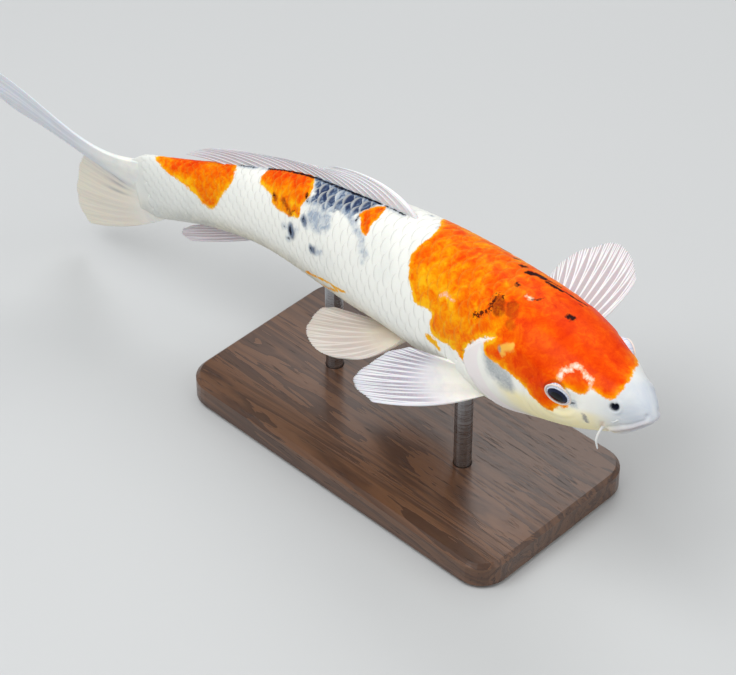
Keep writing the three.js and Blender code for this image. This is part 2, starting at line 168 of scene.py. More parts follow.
def offsets(along, angle, lift=0.0):
    """Across and above of the body's surface: a superellipse with the section's half width and
    heights, rounded to a point over the snout, and grown by lift."""
    along, angle, lift = np.broadcast_arrays(np.asarray(along, float), angle, lift)
    short = 1 - np.minimum(along / SNOUT, 1)
    rounding = np.sqrt(np.maximum(1 - short * short, 0))
    top = np.sin(angle) > 0
    power = 2 / np.where(top, section(CROWN, along), section(KEEL, along))
    half = section(HALF, along) * rounding + lift / SL
    tall = np.where(top, section(UP, along), section(DOWN, along)) * rounding + lift / SL
    return half * signed_power(np.cos(angle), power), tall * signed_power(np.sin(angle), power)


def body_point(along, angle, lift=0.0):
    """The body's surface at a place along it and an angle round it, in metres."""
    across, above = offsets(along, angle, lift)
    return place(along, across, above)


def gill_edge(slope):
    """The free rear edge of a gill cover, along the body, by the slope from the flank in degrees:
    it runs forward above the flank and, more gently, below it."""
    above = np.clip(slope / 84, 0, 0.44)
    below = np.maximum(-slope, 0) / 96
    return 0.284 - 0.278 * above ** 1.63 - 0.13 * below ** 1.3


def scaled_from(slope):
    """Where the scales begin: behind the gill cover, at the nape above it and at the throat."""
    beside = gill_edge(slope) + 0.011
    return mix(mix(0.262, beside, ease((slope + 72) / 20)), 0.236, ease((slope - 26) / 14))


def curve_through(points, steps=8, closed=False):
    """A Catmull-Rom curve through points, in any number of dimensions."""
    points = np.asarray(points, float)
    if closed:
        ring = np.vstack([points[-1], points, points[0], points[1]])
    else:
        ring = np.vstack([2 * points[0] - points[1], points, 2 * points[-1] - points[-2]])
    t = (np.arange(steps) / steps)[None, :, None]
    a, b, c, d = (ring[k:len(ring) - 3 + k, None] for k in range(4))
    curve = 0.5 * (2 * b + (c - a) * t + (2 * a - 5 * b + 4 * c - d) * t ** 2
                   + (3 * b - a - 3 * c + d) * t ** 3)
    curve = curve.reshape(-1, points.shape[1])
    return np.vstack([curve, curve[0] if closed else points[-1]])


def line_distance(points, line):
    """The distance from each point to a polyline."""
    flat = points.reshape(-1, points.shape[-1])
    best = np.full(len(flat), np.inf)
    for start, end in zip(line[:-1], line[1:]):
        run = end - start
        share = np.clip((flat - start) @ run / max(run @ run, 1e-18), 0, 1)
        away = flat - start - share[:, None] * run
        best = np.minimum(best, (away * away).sum(-1))
    return np.sqrt(best).reshape(points.shape[:-1])


# ------------------------------------------------------------------ markings

# Each outline is a loop of (along, angle) on the body. Orange-red patches come first.
MAIN_PATCH = [
    (0.066, 42), (0.047, 83), (0.040, 104), (0.041, 127), (0.046, 149), (0.063, 149),
    (0.068, 147), (0.074, 147), (0.076, 152), (0.079, 158), (0.084, 161), (0.090, 161),
    (0.096, 159), (0.104, 159), (0.106, 168), (0.104, 180), (0.106, 186), (0.116, 188),
    (0.124, 193), (0.130, 196), (0.140, 193), (0.151, 189), (0.161, 183), (0.169, 179),
    (0.186, 174), (0.203, 171), (0.218, 169), (0.235, 168), (0.2435, 164),
    (0.244, 158), (0.236, 152), (0.229, 149), (0.240, 151), (0.253, 156), (0.266, 162),
    (0.278, 170), (0.285, 178), (0.289, 183), (0.300, 179), (0.318, 177), (0.338, 177),
    (0.350, 176), (0.357, 171), (0.355, 165), (0.354, 160), (0.367, 159), (0.388, 160),
    (0.396, 156), (0.401, 151), (0.409, 145), (0.415, 138), (0.423, 127), (0.421, 119),
    (0.417, 112), (0.412, 104), (0.416, 94), (0.425, 83), (0.445, 66), (0.440, 50),
    (0.415, 38), (0.385, 30), (0.378, 18), (0.350, 6), (0.322, -4), (0.303, -1),
    (0.289, -3), (0.285, 2), (0.270, 14), (0.252, 24), (0.229, 31), (0.243, 20),
    (0.238, 13), (0.220, 11), (0.200, 9), (0.170, 4), (0.150, 0), (0.133, -9),
    (0.118, -11), (0.106, -7), (0.101, 8), (0.090, 22), (0.078, 30),
]
SADDLE_PATCH = [
    (0.553, 117), (0.550, 110), (0.539, 102), (0.527, 94), (0.518, 97), (0.515, 109),
    (0.518, 118), (0.518, 125), (0.519, 131), (0.531, 130), (0.543, 122),
]
REAR_PATCH = [
    (0.781, 119), (0.780, 107), (0.774, 94), (0.771, 80), (0.765, 66), (0.735, 60),
    (0.702, 70), (0.686, 86), (0.676, 99), (0.667, 111), (0.665, 120), (0.667, 126),
    (0.674, 134), (0.675, 148), (0.686, 150), (0.702, 151), (0.731, 150), (0.744, 145),
    (0.749, 136), (0.763, 131), (0.779, 124),
]
TAIL_PATCH = [
    (0.978, 112), (0.977, 78), (0.945, 52), (0.885, 56), (0.845, 78), (0.835, 107),
    (0.836, 132), (0.851, 152), (0.877, 181), (0.893, 176), (0.908, 163), (0.943, 140),
]
LEFT_PATCH = [
    (0.590, 52), (0.566, 44), (0.548, 26), (0.556, 12), (0.575, 18), (0.590, 8),
    (0.612, 20), (0.622, 38), (0.610, 52),
]
LEFT_REAR_PATCH = [
    (0.800, 40), (0.770, 34), (0.744, 22), (0.738, 4), (0.755, -8), (0.772, 4),
    (0.792, 8), (0.812, 22),
]
FLECK = [(0.367, 178), (0.352, 178), (0.334, 183), (0.339, 187), (0.352, 184), (0.365, 182)]
BELLY_STREAK = [
    (0.679, 216), (0.649, 210), (0.610, 203), (0.584, 202), (0.552, 193), (0.584, 197),
    (0.610, 198), (0.649, 205), (0.674, 210),
]
BELLY_THREAD = [
    (0.681, 231), (0.646, 224), (0.600, 210), (0.577, 202), (0.610, 208), (0.646, 220),
]
PATCHES = [MAIN_PATCH, SADDLE_PATCH, REAR_PATCH, TAIL_PATCH, LEFT_PATCH, LEFT_REAR_PATCH, FLECK,
           BELLY_STREAK, BELLY_THREAD]

# Strokes, each a line through (along, angle) and its half width in millimetres. First the white
# lines on the forehead and the shoulder, inside the main patch.
WHITE_LINES = [
    ([(0.116, 149), (0.115, 144)], 0.7),
    ([(0.114, 139), (0.108, 134)], 0.8),
    ([(0.106, 127), (0.098, 125)], 0.95),
    ([(0.093, 129), (0.090, 132)], 0.6),
    ([(0.086, 132), (0.079, 132)], 0.75),
    ([(0.116, 149), (0.114, 139), (0.106, 127), (0.098, 125), (0.091, 131), (0.079, 132)], 0.3),
    ([(0.080, 135), (0.075, 149)], 0.2),
    ([(0.345, 143), (0.333, 139), (0.318, 141)], 0.3),
    ([(0.318, 57), (0.304, 58)], 0.4),
    ([(0.225, 97), (0.216, 96)], 0.35),
]

# The slate-blue field under the dorsal fin, and the paler trails that run out of it.
SLATE_FIELD = [
    (0.700, 66), (0.655, 60), (0.603, 62), (0.550, 66), (0.522, 80), (0.538, 94),
    (0.542, 106), (0.556, 118), (0.571, 126), (0.597, 123), (0.607, 129), (0.631, 128),
    (0.662, 129), (0.662, 117), (0.672, 104), (0.690, 95), (0.705, 84),
]
SLATE_TRAILS = [
    ([(0.645, 139), (0.630, 141), (0.614, 139)], 4.4),
    ([(0.634, 147), (0.624, 148)], 2.4),
    ([(0.571, 118), (0.551, 129), (0.528, 134), (0.519, 143), (0.507, 145)], 1.7),
    ([(0.515, 150), (0.513, 154)], 0.9),
    ([(0.663, 147), (0.655, 150)], 1.6),
    ([(0.692, 165), (0.680, 162)], 1.9),
    ([(0.636, 171), (0.616, 169)], 1.4),
    ([(0.820, 90), (0.790, 92)], 1.6),
]

# Soft slate drops, dark at one end, whose trails are above.
DROPS = [
    ([(0.694, 163), (0.690, 168)], 2.6),
    ([(0.640, 171), (0.634, 171)], 1.9),
    ([(0.664, 147), (0.660, 149)], 2.1),
]

# Blue-black strokes. On the orange they look burnt brown.
INK = [
    ([(0.776, 93), (0.770, 93), (0.749, 91), (0.725, 93)], 1.2),
    ([(0.725, 93), (0.686, 93), (0.633, 94)], 1.1),
    ([(0.633, 94), (0.582, 93), (0.533, 92)], 1.2),
    ([(0.539, 91), (0.512, 92), (0.482, 93)], 0.9),
    ([(0.837, 90), (0.820, 93), (0.804, 94)], 0.8),
    ([(0.836, 70), (0.820, 84)], 0.5),
    ([(0.695, 162), (0.693, 168)], 0.9),
    ([(0.6415, 170), (0.640, 173)], 0.6),
    ([(0.6645, 146), (0.662, 149)], 0.8),
    ([(0.713, 164), (0.705, 164)], 0.4),
    ([(0.704, 175), (0.698, 175)], 0.4),
    ([(0.744, 134), (0.740, 136)], 0.5),
    ([(0.697, 149), (0.687, 143)], 0.5),
    ([(0.673, 120), (0.666, 128)], 0.9),
    ([(0.551, 118), (0.553, 124)], 0.6),
    ([(0.360, 53), (0.332, 52)], 0.8),
    ([(0.337, 57), (0.328, 51)], 1.2),
    ([(0.302, 65), (0.300, 62)], 1.1),
    ([(0.280, 72), (0.275, 68)], 1.3),
    ([(0.268, 81), (0.260, 78)], 0.5),
    ([(0.259, 74), (0.253, 70), (0.242, 68)], 2),
    ([(0.231, 71), (0.221, 70), (0.210, 68)], 1.4),
    ([(0.246, 69), (0.233, 66), (0.218, 63)], 0.8),
    ([(0.204, 65), (0.188, 61), (0.176, 55)], 0.9),
    ([(0.251, 93), (0.249, 94)], 1.3),
    ([(0.215, 96), (0.210, 93), (0.208, 90)], 0.55),
    ([(0.163, 87), (0.158, 87)], 1.3),
    ([(0.179, 65), (0.173, 64)], 0.4),
    ([(0.457, 73), (0.455, 74)], 0.5),
    ([(0.421, 81), (0.420, 89)], 0.4),
    ([(0.101, 179), (0.094, 177)], 0.55),
    ([(0.610, 30), (0.596, 24)], 1.5),
    ([(0.704, 46), (0.696, 40)], 1.7),
    ([(0.470, 18), (0.462, 14)], 1),
]

# Brown scales that show through the shoulder patch, and the black specks on them.
BROWN_SCALES = [
    ([(0.249, 119), (0.243, 124)], 3.7),
    ([(0.227, 114), (0.221, 119)], 3.5),
    ([(0.215, 129), (0.213, 130)], 2.6),
    ([(0.743, 135), (0.736, 139)], 1.5),
    ([(0.719, 137), (0.709, 142), (0.697, 149)], 1.3),
    ([(0.151, 188), (0.146, 190)], 0.7),
    ([(0.136, 193), (0.127, 194)], 0.8),
]
SPECKS = [
    ([(0.276, 141), (0.266, 137), (0.258, 132), (0.256, 123), (0.257, 116)], 1.2),
    ([(0.274, 139), (0.270, 141)], 0.6),
    ([(0.258, 114), (0.250, 112)], 0.9),
]

# A golden spot behind the eye, with golden lines and ash-grey dots.
GOLD_SPOT = [
    (0.217, 152), (0.207, 147), (0.196, 143), (0.193, 150), (0.203, 155), (0.208, 161),
    (0.216, 158),
]
GOLD_LINES = [([(0.118, 152), (0.116, 147)], 0.7), ([(0.080, 135), (0.0755, 147)], 0.45)]
ASHEN_DOTS = [
    ([(0.0815, 191), (0.0815, 203)], 0.9),
    ([(0.2155, 154), (0.2145, 156)], 0.8),
]

STROKES = {"bare_line": WHITE_LINES, "trail": SLATE_TRAILS, "drop": DROPS, "ink": INK,
           "brown": BROWN_SCALES, "speck": SPECKS, "ash": ASHEN_DOTS}

# The grey veil in front of the gill covers, given on the right side and mirrored to the left.
VEIL = [(0.246, 160), (0.242, 171), (0.236, 178), (0.222, 184), (0.203, 188), (0.189, 187),
        (0.193, 174), (0.212, 168), (0.232, 163)]


def chart(along, angle):
    """The body unrolled, in metres: (along, angle from the back times the mean radius there)."""
    short = 1 - np.minimum(along / SNOUT, 1)
    mean = (section(HALF, along) + (section(UP, along) + section(DOWN, along)) / 2) / 2
    ring = mean * np.sqrt(np.maximum(1 - short * short, 0)) * SL
    return np.stack([along * SL, np.radians(angle - 90) * ring], -1)


def chart_line(points, closed=False):
    """A smooth line through (along, angle), on the chart."""
    line = curve_through(points, 5, closed)
    return chart(line[:, 0], line[:, 1])


def depth_in(spots, loop):
    """Distance on the chart to a closed outline, positive inside it, by the crossings of a ray."""
    loop = chart_line(loop, closed=True)
    away = line_distance(spots, loop)
    inside = np.zeros(len(spots), bool)
    for (x0, y0), (x1, y1) in zip(loop[:-1], loop[1:]):
        if y0 != y1:
            spans = (spots[:, 1] < y0) != (spots[:, 1] < y1)
            reach = x0 + (spots[:, 1] - y0) * (x1 - x0) / (y1 - y0)
            inside ^= spans & (spots[:, 0] < reach)
    return np.where(inside, away, -away)


def depth_on(spots, lines):
    """Half width less distance on the chart, for the nearest of several strokes."""
    return np.max([width * MM - line_distance(spots, chart_line(line)) for line, width in lines], 0)


def paint(along, angle):
    """The markings as numbers at each vertex, the same for skin and scales. Angles in degrees
    from -90 to 270. Distances are in millimetres, positive inside the marking."""
    shape = along.shape
    along, angle = along.ravel(), angle.ravel()
    spots = chart(along, angle)
    folded = chart(along, np.where(np.cos(np.radians(angle)) > 0, 180 - angle, angle))
    slope = slope_of(angle)
    edge = gill_edge(slope)
    cream = ease((2 - slope) / 14) * ease((edge - 0.045 - along) / 0.03)
    band_start = edge - 0.036 * np.clip((31 - slope) / 33, 0, 1)
    marks = {key: depth_on(spots, lines) / MM for key, lines in STROKES.items()}
    marks.update({
        "patch": np.max([depth_in(spots, loop) for loop in PATCHES], 0) / MM,
        "slate": depth_in(spots, SLATE_FIELD) / MM,
        "slate_deep": 1 - ease((np.abs(angle - 90) - 16) / 34),
        "gold": np.maximum(depth_in(spots, GOLD_SPOT), depth_on(spots, GOLD_LINES)) / MM,
        "veil": depth_in(folded, VEIL) / MM,
        "along": along,
        "belly": ease((-slope - 5) / 45),
        "cream": cream * ease((along - 0.03) / 0.05) * ease((slope + 75) / 20),
        "gill_band": ease((along - band_start) / 0.004) * ease((edge + 0.004 - along) / 0.003)
        * ease((31 - slope) / 4) * ease((slope + 62) / 12),
    })
    return {key: value.reshape(shape) for key, value in marks.items()}


# ------------------------------------------------------------------ meshes


def lattice(rows, columns, wrap=False):
    """The quads of a grid of points stored row by row. With wrap, the last column joins the
    first. The corners are also given as (row, column) before wrapping, for the UV map."""
    i, j = np.meshgrid(np.arange(rows - 1), np.arange(columns if wrap else columns - 1),
                       indexing="ij")
    corners = np.stack([np.stack([i, j], -1), np.stack([i + 1, j], -1),
                        np.stack([i + 1, j + 1], -1), np.stack([i, j + 1], -1)], -2)
    corners = corners.reshape(-1, 4, 2)
    return corners[..., 0] * columns + corners[..., 1] % columns, corners


def pole_caps(rows, ring):
    """The triangles that close a wrapped grid on two points stored after it, one before its first
    row and one behind its last."""
    loop = np.arange(ring)
    ahead = np.roll(loop, -1)
    last = (rows - 1) * ring
    return np.vstack([np.stack([np.full(ring, rows * ring), loop, ahead], -1),
                      np.stack([np.full(ring, rows * ring + 1), last + ahead, last + loop], -1)])


def shell(rows, columns):
    """The quads of a closed thin plate: an upper grid, a lower grid and the walls between."""
    upper, _ = lattice(rows, columns)
    lower = upper[:, ::-1] + rows * columns
    grid = np.arange(rows * columns).reshape(rows, columns)
    rim = np.concatenate([grid[0, :-1], grid[:-1, -1], grid[-1, :0:-1], grid[:0:-1, 0]])
    following = np.roll(rim, -1)
    walls = np.stack([rim, following, following + rows * columns, rim + rows * columns], -1)
    return np.vstack([upper, lower, walls])


def build(name, points, polygons, uv=None, marks=None, material=None):
    """A mesh object from whole arrays. polygons is a list of arrays, each of equal sided faces;
    uv, where given, is a list of the same lengths with a pair for each corner."""
    mesh = bpy.data.meshes.new(name)
    mesh.vertices.add(len(points))
    mesh.vertices.foreach_set("co", np.ascontiguousarray(points, np.float32).ravel())
    corners = np.concatenate([group.ravel() for group in polygons])
    sides = np.concatenate([np.full(len(group), group.shape[1]) for group in polygons])
    mesh.loops.add(len(corners))
    mesh.loops.foreach_set("vertex_index", corners.astype(np.int32))
    mesh.polygons.add(len(sides))
    starts = np.concatenate([[0], np.cumsum(sides)[:-1]])
    mesh.polygons.foreach_set("loop_start", starts.astype(np.int32))
    mesh.polygons.foreach_set("use_smooth", np.ones(len(sides), bool))
    mesh.update(calc_edges=True)
    if uv is not None:
        layer = mesh.uv_layers.new(name="OFBake")
        flat = np.concatenate([group.reshape(-1, 2) for group in uv])
        layer.data.foreach_set("uv", flat.astype(np.float32).ravel())
    for key, value in (marks or {}).items():
        attribute = mesh.attributes.new(key, "FLOAT", "POINT")
        attribute.data.foreach_set("value", np.ascontiguousarray(value, np.float32).ravel())
    mesh.validate()
    piece = bpy.data.objects.new(name, mesh)
    bpy.context.scene.collection.objects.link(piece)
    if material is not None:
        mesh.materials.append(material)
    return piece


def faces_in(points, polygons, out):
    """Whether the polygons face against out, the outward directions at their first corners."""
    a, b, c = (points[polygons[:, k]] for k in range(3))
    return (np.cross(b - a, c - a) * out).sum() < 0


def settle(piece, slot, *nodes):
    """The piece rides on the fish and stands for its nodes, which it hides. slot is not used."""
    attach(piece, "root")
    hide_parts(*nodes)
    return piece


# ------------------------------------------------------------------ shader helpers


class Value:
    """A number or colour that changes over the surface: a node's output. + - and * make Math
    nodes, and so do the other operations."""

    def __init__(self, tree, node, output=0):
        self.tree, self.node, self.socket = tree, node, node.outputs[output]

    def __add__(self, other):
        return calc(self.tree, "ADD", self, other)

    def __sub__(self, other):
        return calc(self.tree, "SUBTRACT", self, other)

    def __rsub__(self, other):
        return calc(self.tree, "SUBTRACT", other, self)

    def __mul__(self, other):
        return calc(self.tree, "MULTIPLY", self, other)

    def sine(self):
        return calc(self.tree, "SINE", self)

    def fraction(self):
        return calc(self.tree, "FRACT", self)

    def held(self):
        """The result of the last operation, held between 0 and 1."""
        self.node.use_clamp = True
        return self

    def step(self, low, high, start=0.0, end=1.0):
        """A smooth step from start to end as the value runs from low to high."""
        return made(self.tree, "MapRange", "Result", {"interpolation_type": "SMOOTHSTEP"},
                    {0: self, 1: low, 2: high, 3: start, 4: end})

    def blend(self, low, high):
        """The colour low where the value is 0, and high where it is 1."""
        return made(self.tree, "Mix", 2, {"data_type": "RGBA"}, {0: self, 6: low, 7: high})

    def ramp(self, stops):
        """A Color Ramp through (position, colour)."""
        ramp = made(self.tree, "ValToRGB", "Color", None, {"Fac": self})
        elements = ramp.node.color_ramp.elements
        while len(elements) < len(stops):
            elements.new(1.0)
        for element, (position, colour) in zip(elements, stops):
            element.position = position
            element.color = colour
        return ramp


def put(tree, kind, settings=None, inputs=None):
    """A shader node with its settings, and its inputs linked or set."""
    node = tree.nodes.new("ShaderNode" + kind)
    for key, value in (settings or {}).items():
        setattr(node, key, value)
    for key, value in (inputs or {}).items():
        value = getattr(value, "socket", value)
        if isinstance(value, bpy.types.NodeSocket):
            tree.links.new(value, node.inputs[key])
        else:
            node.inputs[key].default_value = value
    return node


def made(tree, kind, output=0, settings=None, inputs=None):
    """One output of a new shader node."""
    return Value(tree, put(tree, kind, settings, inputs), output)


def calc(tree, operation, *values):
    """A Math node."""
    return made(tree, "Math", 0, {"operation": operation}, dict(enumerate(values)))


def layers(colour, *coats):
    """Coats laid over a colour in turn: each a share, and the colour that it turns to."""
    for share, coat in coats:
        colour = share.blend(colour, coat)
    return colour


def attribute(tree, name):
    """A mark of the mesh."""
    return made(tree, "Attribute", "Fac", {"attribute_name": name})


def places(tree, stretch=None):
    """Object coordinates, times a stretch for each axis where one is given."""
    spot = made(tree, "TexCoord", "Object")
    return made(tree, "Mapping", 0, None, {"Vector": spot, "Scale": stretch}) if stretch else spot


def noise(tree, size, detail=3.0, rough=0.55, warp=0.0, where=None):
    """Noise about a half whose grains are about `size` metres."""
    return made(tree, "TexNoise", "Fac", None,
                {"Vector": where or places(tree), "Scale": 1 / size, "Detail": detail,
                 "Roughness": rough, "Distortion": warp})


def rgb(red, green, blue):
    """A colour given as it looks on screen, 0 to 255, turned into linear light."""
    shown = np.array([red, green, blue]) / 255
    linear = np.where(shown <= 0.04045, shown / 12.92, ((shown + 0.055) / 1.055) ** 2.4)
    return (*linear.tolist(), 1.0)


SURFACE = {"Color": "NodeSocketColor", "Roughness": "NodeSocketFloat",
           "Height": "NodeSocketFloat"}


def group(name, given, fill):
    """A shader node group with Color, Roughness and Height. given holds its inputs, each with a
    colour or a number. fill(tree, sockets) gives a Value for each output."""
    tree = bpy.data.node_groups.new(name, "ShaderNodeTree")
    for key, value in given.items():
        kind = SURFACE["Color" if isinstance(value, tuple) else "Height"]
        socket = tree.interface.new_socket(key, in_out="INPUT", socket_type=kind)
        socket.default_value = value
    for key, kind in SURFACE.items():
        tree.interface.new_socket(key, in_out="OUTPUT", socket_type=kind)
    entry = tree.nodes.new("NodeGroupInput")
    leave = tree.nodes.new("NodeGroupOutput")
    for key, value in fill(tree, entry.outputs).items():
        tree.links.new(value.socket, leave.inputs[key])
    return tree


def material(name, effect, group_inputs=None, bump=0.3, distance=0.3 * MM, **surface):
    """A Principled material whose colour, roughness and bump come from a node group. Constant
    values go straight to the shader's own sockets."""
    finish = bpy.data.materials.new(name)
    finish.use_nodes = True
    tree = finish.node_tree
    shader = tree.nodes["Principled BSDF"]
    for key, value in surface.items():
        socket = key.replace("_", " ").title().replace("Ior", "IOR")
        shader.inputs[socket].default_value = value
    source = put(tree, "Group", {"node_tree": effect}, group_inputs)
    relief = put(tree, "Bump", None, {"Height": source.outputs["Height"], "Strength": bump,
                                      "Distance": distance})
    tree.links.new(source.outputs["Color"], shader.inputs["Base Color"])
    tree.links.new(source.outputs["Roughness"], shader.inputs["Roughness"])
    tree.links.new(relief.outputs["Normal"], shader.inputs["Normal"])
    return finish


# ------------------------------------------------------------------ the koi's colours


def koi_pattern(tree, given):
    """White ground, orange-red patches, slate field and blue-black marks over a scale net."""
    def mark(key):
        return attribute(tree, key)

    tone, cell, edge, along, belly = map(mark, ("tone", "cell", "edge", "along", "belly"))
    fine = noise(tree, 1.1 * MM, 4.0, 0.65) - 0.5
    ragged = noise(tree, 2.6 * MM, 2.0, 0.5) - 0.5
    broad = noise(tree, 6 * MM, 3.0, 0.6, 0.4) - 0.5
    flecks = noise(tree, 3.2 * MM, 4.0, 0.7, 0.8)
    mottle = noise(tree, 9 * MM, 4.0, 0.62, 0.6)
    cloud = noise(tree, 24 * MM, 2.0)

    # The ground: white on the back, cream below, cool at the snout, grey clouds, and painted shade
    # under the belly.
    shaded = (mottle + 0.35).held()
    veil = (mark("veil") + broad * 5.0).step(-2.0, 2.5) * shaded * (fine + 0.9)
    # Painted shade on the underside from a third of the way along back to the tail, broken up by
    # the mottle.
    belly_shade = belly * mottle.step(0.38, 0.68) * along.step(0.32, 0.45) * 0.75
    grey = cloud.step(0.5, 0.72) * 0.3 + along.step(0.84, 0.97, 0.0, 0.65)
    ash = (mark("ash") + fine * 2.0).step(-0.6, 0.6) * 0.75
    ground = layers(
        belly.blend(given["Ground"], given["Belly"]), (mark("cream") * shaded, given["Cream"]),
        (along.step(0.085, 0.02) * shaded, given["Snout"]), (veil, given["Veil"]),
        (belly_shade, given["Belly shade"]), (grey, given["Cloud"]), (edge * 0.08, given["Scale edge"]),
        (ash, given["Ash"]))

    # The patches: a soft yellow rim, mottled orange, and vermilion on the head and the crest.
    waver = fine * 1.8 + broad * 1.5 + (tone - 0.5) * 0.5 + ragged * 1.8
    depth = mark("patch") + waver
    head = along.step(0.25, 0.15)
    shoulder = along.step(0.25, 0.33) * along.step(0.5, 0.4)
    margin = head * depth.step(8.0, 2.0)
    crest = mark("slate_deep") * (1.0 - head)
    swing = ((mottle - 0.5) * 1.5 + (flecks - 0.5)) * (1.0 - head * 0.35)
    redness = (depth.step(0.0, 3.0) * 0.4 + head * 0.38 - shoulder * 0.12 - margin * 0.2
               + crest * 0.22 + swing)
    flame = redness.ramp([
        (0.0, rgb(255, 186, 20)), (0.25, rgb(252, 148, 0)), (0.5, rgb(246, 110, 0)),
        (0.75, rgb(238, 74, 0)), (1.0, rgb(224, 50, 0))])

    # On the patches: golden spots, ash dots, brown scales, burnt specks, and ragged pale lines,
    # pinkish where they thin out.
    gold = (mark("gold") + ragged * 3.0).step(-0.6, 1.0) * 0.85
    brown = (mark("brown") + ragged * 2.4).step(-0.4, 1.2) * flecks.step(0.1, 0.5, 0.5, 1.0)
    brown = brown * along.step(0.21, 0.245, 0.45, 1.0) * fine.step(-0.3, 0.3, 0.55, 1.0)
    specks = (mark("speck") + fine * 9.0).step(0.2, 1.0) * 0.9
    line = mark("bare_line") + ragged * 2.2 + fine * 3.4
    flame = layers(
        flame, (edge * 0.2, given["Scale rim"]), (gold, given["Gold"]), (ash, given["Ash"]),
        (brown, given["Speck"]), (specks, given["Burn"]), (line.step(-0.9, 0.1), given["Blush"]))
    within = depth.step(-0.35, 0.6)
    bare = 1.0 - within
    covered = (within - line.step(-0.1, 0.9) * 0.7).held()

    # The slate field lies under each scale, whose edge stays pale, with its trails and drops.
    deep = mark("slate_deep") * 0.6 + (tone - 0.45) * 0.6 + (flecks - 0.5) * 1.7
    slate = (mark("slate") + broad * 7.0).step(-0.8, 1.6) * (deep * 0.75 + 0.6).held()
    slate = slate * bare * (cell * 0.58 + 0.42)
    shade = deep.step(0.12, 0.85).blend(given["Slate pale"], given["Slate"])
    trail = (mark("trail") + ragged * 3.6).step(-1.6, 2.4) * bare
    trail = trail * flecks.step(0.25, 0.65, 0.35, 1.1) * 0.75
    drop = (mark("drop") + ragged * 1.2).step(-0.8, 1.7) * bare * 0.85

    # Blue-black marks with a soft edge on white, burnt ones on orange.
    ink = mark("ink") + fine * 2.0 + ragged * 1.8
    halo = ink.step(-1.8, 0.2) * 0.45 * bare
    burnt = bare.blend(given["Burn"], given["Ink"])
    # The last coat is painted shade in the ink colour: the nostril pits and the shadow over each
    # eye.
    colour = layers(
        covered.blend(ground, flame), (slate, shade), (trail, given["Slate pale"]),
        (drop, given["Slate"]), (halo, given["Slate pale"]), (ink.step(-0.25, 0.7), burnt),
        (mark("gill_band") * 0.85, given["Membrane"]), (mark("flush"), given["Flush"]),
        (mark("painted_shade"), given["Ink"]))

    pores = made(tree, "TexVoronoi", "Distance", {"feature": "F1"},
                 {"Vector": places(tree), "Scale": 1 / (1.3 * MM)})
    grain = (noise(tree, 0.7 * MM, 3.0, 0.6) * 0.5 + pores.step(0.0, 0.35) * 0.35
             + (mark("ring") * 42.0).sine() * 0.1)
    return {"Color": colour, "Roughness": (fine + broad) * 0.18 + 0.42, "Height": grain}


koi_group = group("koi_pattern", {
    "Ground": rgb(247, 247, 240), "Belly": rgb(232, 226, 206), "Snout": rgb(198, 206, 217),
    "Cream": rgb(252, 240, 190), "Ash": rgb(128, 130, 138), "Veil": rgb(158, 165, 170),
    # Belly shade is the colour of the painted shade under the belly.
    "Cloud": rgb(222, 224, 220), "Belly shade": rgb(170, 172, 166), "Scale rim": rgb(255, 196, 60),
    "Scale edge": rgb(228, 230, 226), "Slate": rgb(44, 58, 92), "Slate pale": rgb(132, 152, 178),
    "Ink": rgb(16, 20, 36), "Burn": rgb(44, 8, 8), "Speck": rgb(140, 46, 4),
    "Gold": rgb(250, 196, 84), "Blush": rgb(250, 178, 136), "Membrane": rgb(244, 236, 236),
    "Flush": rgb(232, 178, 170),
}, koi_pattern)
SHEEN = {"coat_weight": 0.02, "coat_roughness": 0.12, "specular_ior_level": 0.04,
         "subsurface_weight": 0.03, "subsurface_scale": 0.003}
skin_material = material("koi_skin", koi_group, bump=0.35, distance=0.12 * MM, **SHEEN)
scale_material = material("koi_scales", koi_group, bump=0.3, distance=0.1 * MM, **SHEEN)


def fin_pattern(tree, given):
    """Pale rays on a thin web, with fine grey-pink lines of painted crease shade beside each ray,
    painted shade streaks in the creases where a fin has them, and a tinted root.
    """
    ray, out, streak, creased, tint, reach = (
        attribute(tree, key) for key in ("ray", "out", "streak", "creased", "tint", "reach"))
    cloud = noise(tree, 11 * MM, 3.0, 0.6)
    fine = noise(tree, 1.2 * MM, 3.0, 0.6)
    # Line is painted shade in the creases of the web beside each ray, fading in away from the root.
    line = ray.step(0.55, 0.12) * creased * (fine * 0.9 + 0.5) * given["Line strength"]
    web = out.step(0.1, 0.6).blend(given["Web root"], given["Web tip"])
    colour = layers(
        web, (cloud.step(0.42, 0.7) * 0.35, given["Web shade"]),
        (ray.step(0.35, 0.95) * creased, given["Ray"]),
        (tint * out.step(0.1, 0.45, 0.1, 0.85), given["Tint"]), (line, given["Line"]),
        # Painted shade of the creases, where a fin has them.
        (streak, given["Streak"]))
    joints = (reach * 5.2).sine() * ray * 0.35
    return {"Color": colour, "Roughness": fine * 0.2 + 0.3, "Height": fine + joints}


# Line and Line strength set the painted crease shade beside the rays.
fin_group = group("koi_fin", {
    "Web root": rgb(250, 244, 232), "Web tip": rgb(218, 218, 228),
    "Web shade": rgb(204, 202, 212), "Ray": rgb(244, 242, 244), "Line": rgb(150, 140, 152),
    "Streak": rgb(96, 104, 122), "Tint": rgb(240, 240, 242), "Line strength": 0.7,
}, fin_pattern)


def fin_material(name, **tints):
    """The fins' material, with its own tints on the group's inputs."""
    changed = {key.replace("_", " ").capitalize(): value for key, value in tints.items()}
    return material(name, fin_group, changed, bump=0.35, distance=0.15 * MM, coat_weight=0.1,
                    coat_roughness=0.15, specular_ior_level=0.25, subsurface_weight=0.2,
                    subsurface_scale=0.003)


